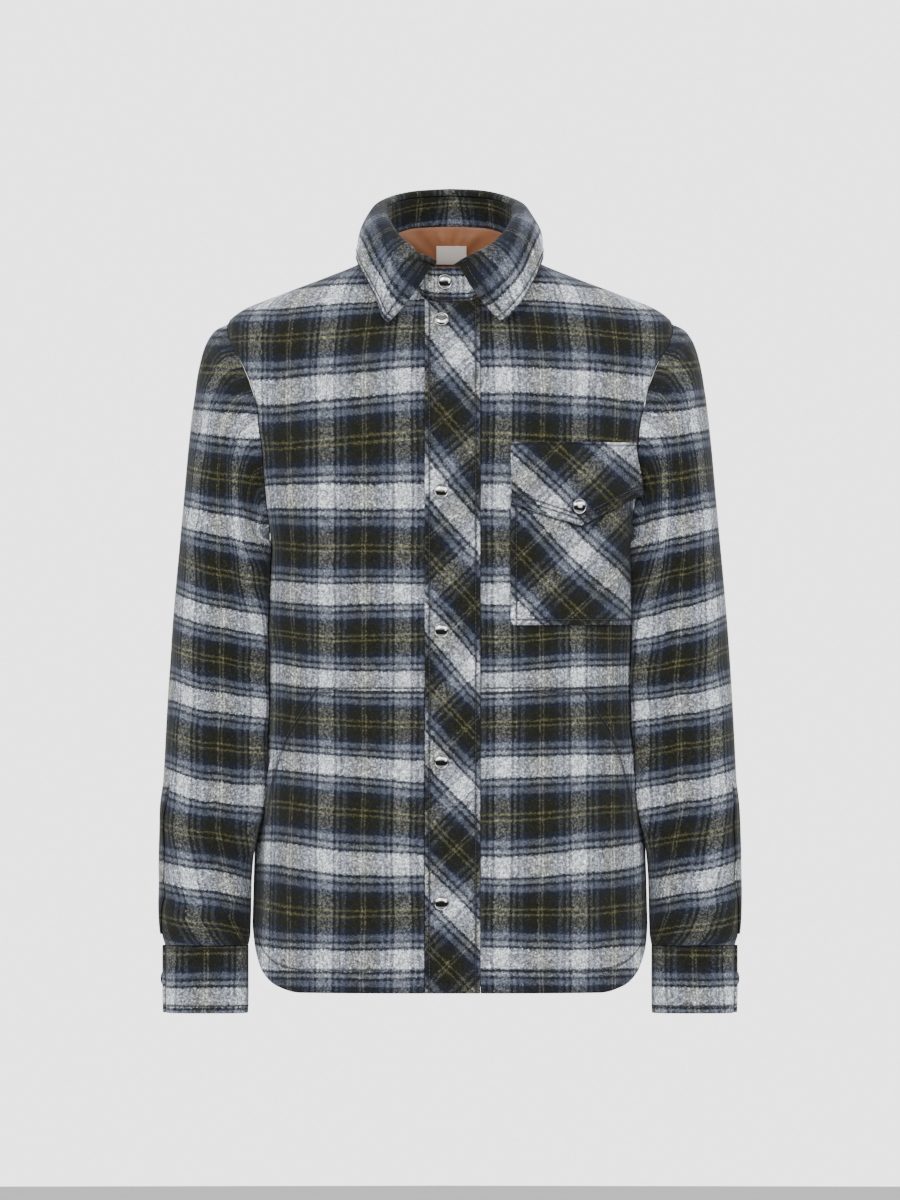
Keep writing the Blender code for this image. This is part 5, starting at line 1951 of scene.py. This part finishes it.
@dataclass(frozen=True)
class Studio:
    """The camera, the soft lights, the pale floor and the backdrop.

    Attributes:
        aim_z: Height that the camera looks at, in metres.
        distance: How far the camera stands off.
        frame_height: Height of the picture at the garment, in metres.
        room: Brightness of the room that lights the garment.
        backdrop: Brightness of the backdrop.
        sky: Places from straight down (0) to straight up (1) and the room's brightness there.
        lamps: Each light's name, place, size and power.
    """

    aim_z: float = -0.338
    distance: float = 14.0
    frame_height: float = 1.2
    room: float = 0.53
    backdrop: float = 3.05
    sky: tuple[tuple[float, float], ...] = (
        (0.08, 0.9), (0.16, 0.6), (0.22, 0.03), (0.52, 0.03), (0.56, 0.8), (0.60, 1.2), (0.64, 5.0),
        (0.77, 5.0), (0.82, 0.7), (0.88, 0.5),
    )
    lamps: tuple[tuple[str, tuple[float, ...], tuple[float, float], float], ...] = (
        ("key", (-1.3, -2.6, 1.5), (1.2, 1.2), 28.5), ("fill", (2.1, -2.5, 0.3), (1.4, 1.8), 12.0),
        ("back", (0.9, 2.8, 1.1), (1.6, 1.6), 24.0), ("top", (0.0, 0.3, 2.0), (1.6, 1.2), 14.0),
    )

    def build(self) -> None:
        """Makes the camera, the room, the floor, the backdrop and the lights."""
        camera = bpy.data.objects.new("camera", bpy.data.cameras.new("camera"))
        camera.data.sensor_width = 36.0
        camera.data.lens = 36.0 * self.distance / self.frame_height
        camera.data.clip_end = 100.0
        camera.location = (0.0, -self.distance, self.aim_z)
        camera.rotation_euler = (math.pi / 2.0, 0.0, 0.0)
        bpy.context.scene.collection.objects.link(camera)
        bpy.context.scene.camera = camera
        self.light_room()
        self.floor()
        self.backdrop_shell()
        for name, place, size, watts in self.lamps:
            data = bpy.data.lights.new(name, "AREA")
            data.shape = "RECTANGLE"
            data.size, data.size_y = size
            data.energy = watts
            lamp = bpy.data.objects.new(name, data)
            lamp.location = place
            aim = Vector((0.0, 0.0, self.aim_z)) - Vector(place)
            lamp.rotation_euler = aim.to_track_quat("-Z", "Y").to_euler()
            bpy.context.scene.collection.objects.link(lamp)

    def light_room(self) -> None:
        """The room round the garment, which the caps mirror: dark at their height, bright above."""
        world = bpy.data.worlds.new("room")
        world.use_nodes = True
        made = Sockets(world.node_tree)
        height = made.parts(made.add("ShaderNodeTexCoord").outputs["Generated"])[2]
        sky = made.feed(made.add("ShaderNodeValToRGB"), {0: made.math("MULTIPLY_ADD", height, 0.5, 0.5)})
        line = sky.color_ramp
        line.elements[0].color = grey(0.1)
        line.elements[1].color = grey(0.4)
        for place, bright in self.sky:
            line.elements.new(place).color = grey(bright)
        lit = made.mix("MULTIPLY", 1.0, sky.outputs[0], grey(self.room))
        made.feed(world.node_tree.nodes["Background"], {0: lit, 1: 1.0})
        bpy.context.scene.world = world

    def floor(self) -> None:
        """A pale floor well below the garment, which the caps don't mirror."""
        made = bmesh.new()
        bmesh.ops.create_circle(made, cap_ends=True, segments=64, radius=9.0)
        bmesh.ops.translate(made, vec=(0.0, 0.0, -1.3), verts=made.verts)
        finish, sockets, shader, place = start_finish("floor")
        grain = sockets.noise(place, 6.0, 3.0, 0.5).outputs[0]
        colour = sockets.mix("MIX", grain, grey(0.70), grey(0.74))
        sockets.feed(shader, {"Base Color": colour, "Roughness": 0.9})
        self.put("floor", made, finish, ("glossy",))

    def backdrop_shell(self) -> None:
        """A pale backdrop all round, which only the camera sees."""
        made = bmesh.new()
        bmesh.ops.create_icosphere(made, subdivisions=4, radius=29.0)
        finish, sockets, shader, _ = start_finish("backdrop")
        sockets.feed(shader, {
            "Base Color": grey(0.0), "Specular IOR Level": 0.0, "Emission Color": grey(1.0),
            "Emission Strength": self.backdrop,
        })
        self.put("backdrop", made, finish, ("diffuse", "glossy", "transmission", "shadow", "volume_scatter"))

    def put(self, name: str, made: bmesh.types.BMesh, finish: Material, hidden: Sequence[str]) -> None:
        """Puts a piece of the studio in the scene, hidden from some kinds of rays."""
        mesh = mesh_of(made, name)
        mesh.materials.append(finish)
        obj = bpy.data.objects.new(name, mesh)
        for ray in hidden:
            setattr(obj, f"visible_{ray}", False)
        bpy.context.scene.collection.objects.link(obj)


def main() -> None:
    """Builds the studio and the garment, piece by piece."""
    logging.basicConfig(level=logging.INFO, format="%(name)s: %(message)s")
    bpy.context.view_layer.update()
    Studio().build()
    cloths = Cloths(Yarns())
    wool = cloths.wool("wool_plaid", 0.100, 0.74)
    bias = cloths.wool("wool_plaid_bias", 0.110, 0.76)
    collar, pocket, sleeves = Collar(), ChestPocket(), Sleeves()
    BodyPanels().build(wool, cloths.lining(), cloths.label())
    FrontBand().build(bias)
    HandPockets().build(wool)
    pocket.build(bias)
    collar.build_stand(wool)
    collar.build_fall(wool)
    for side in Side:
        sleeves.build_sleeve(side, wool)
        sleeves.build_vent(side, wool)
        sleeves.build_cuff(side, wool)
    Stitching().build(cloths.thread(), collar, pocket, sleeves)
    Snaps().build(cloths.metal(), collar, pocket, sleeves)


if __name__ == "__main__":
    main()
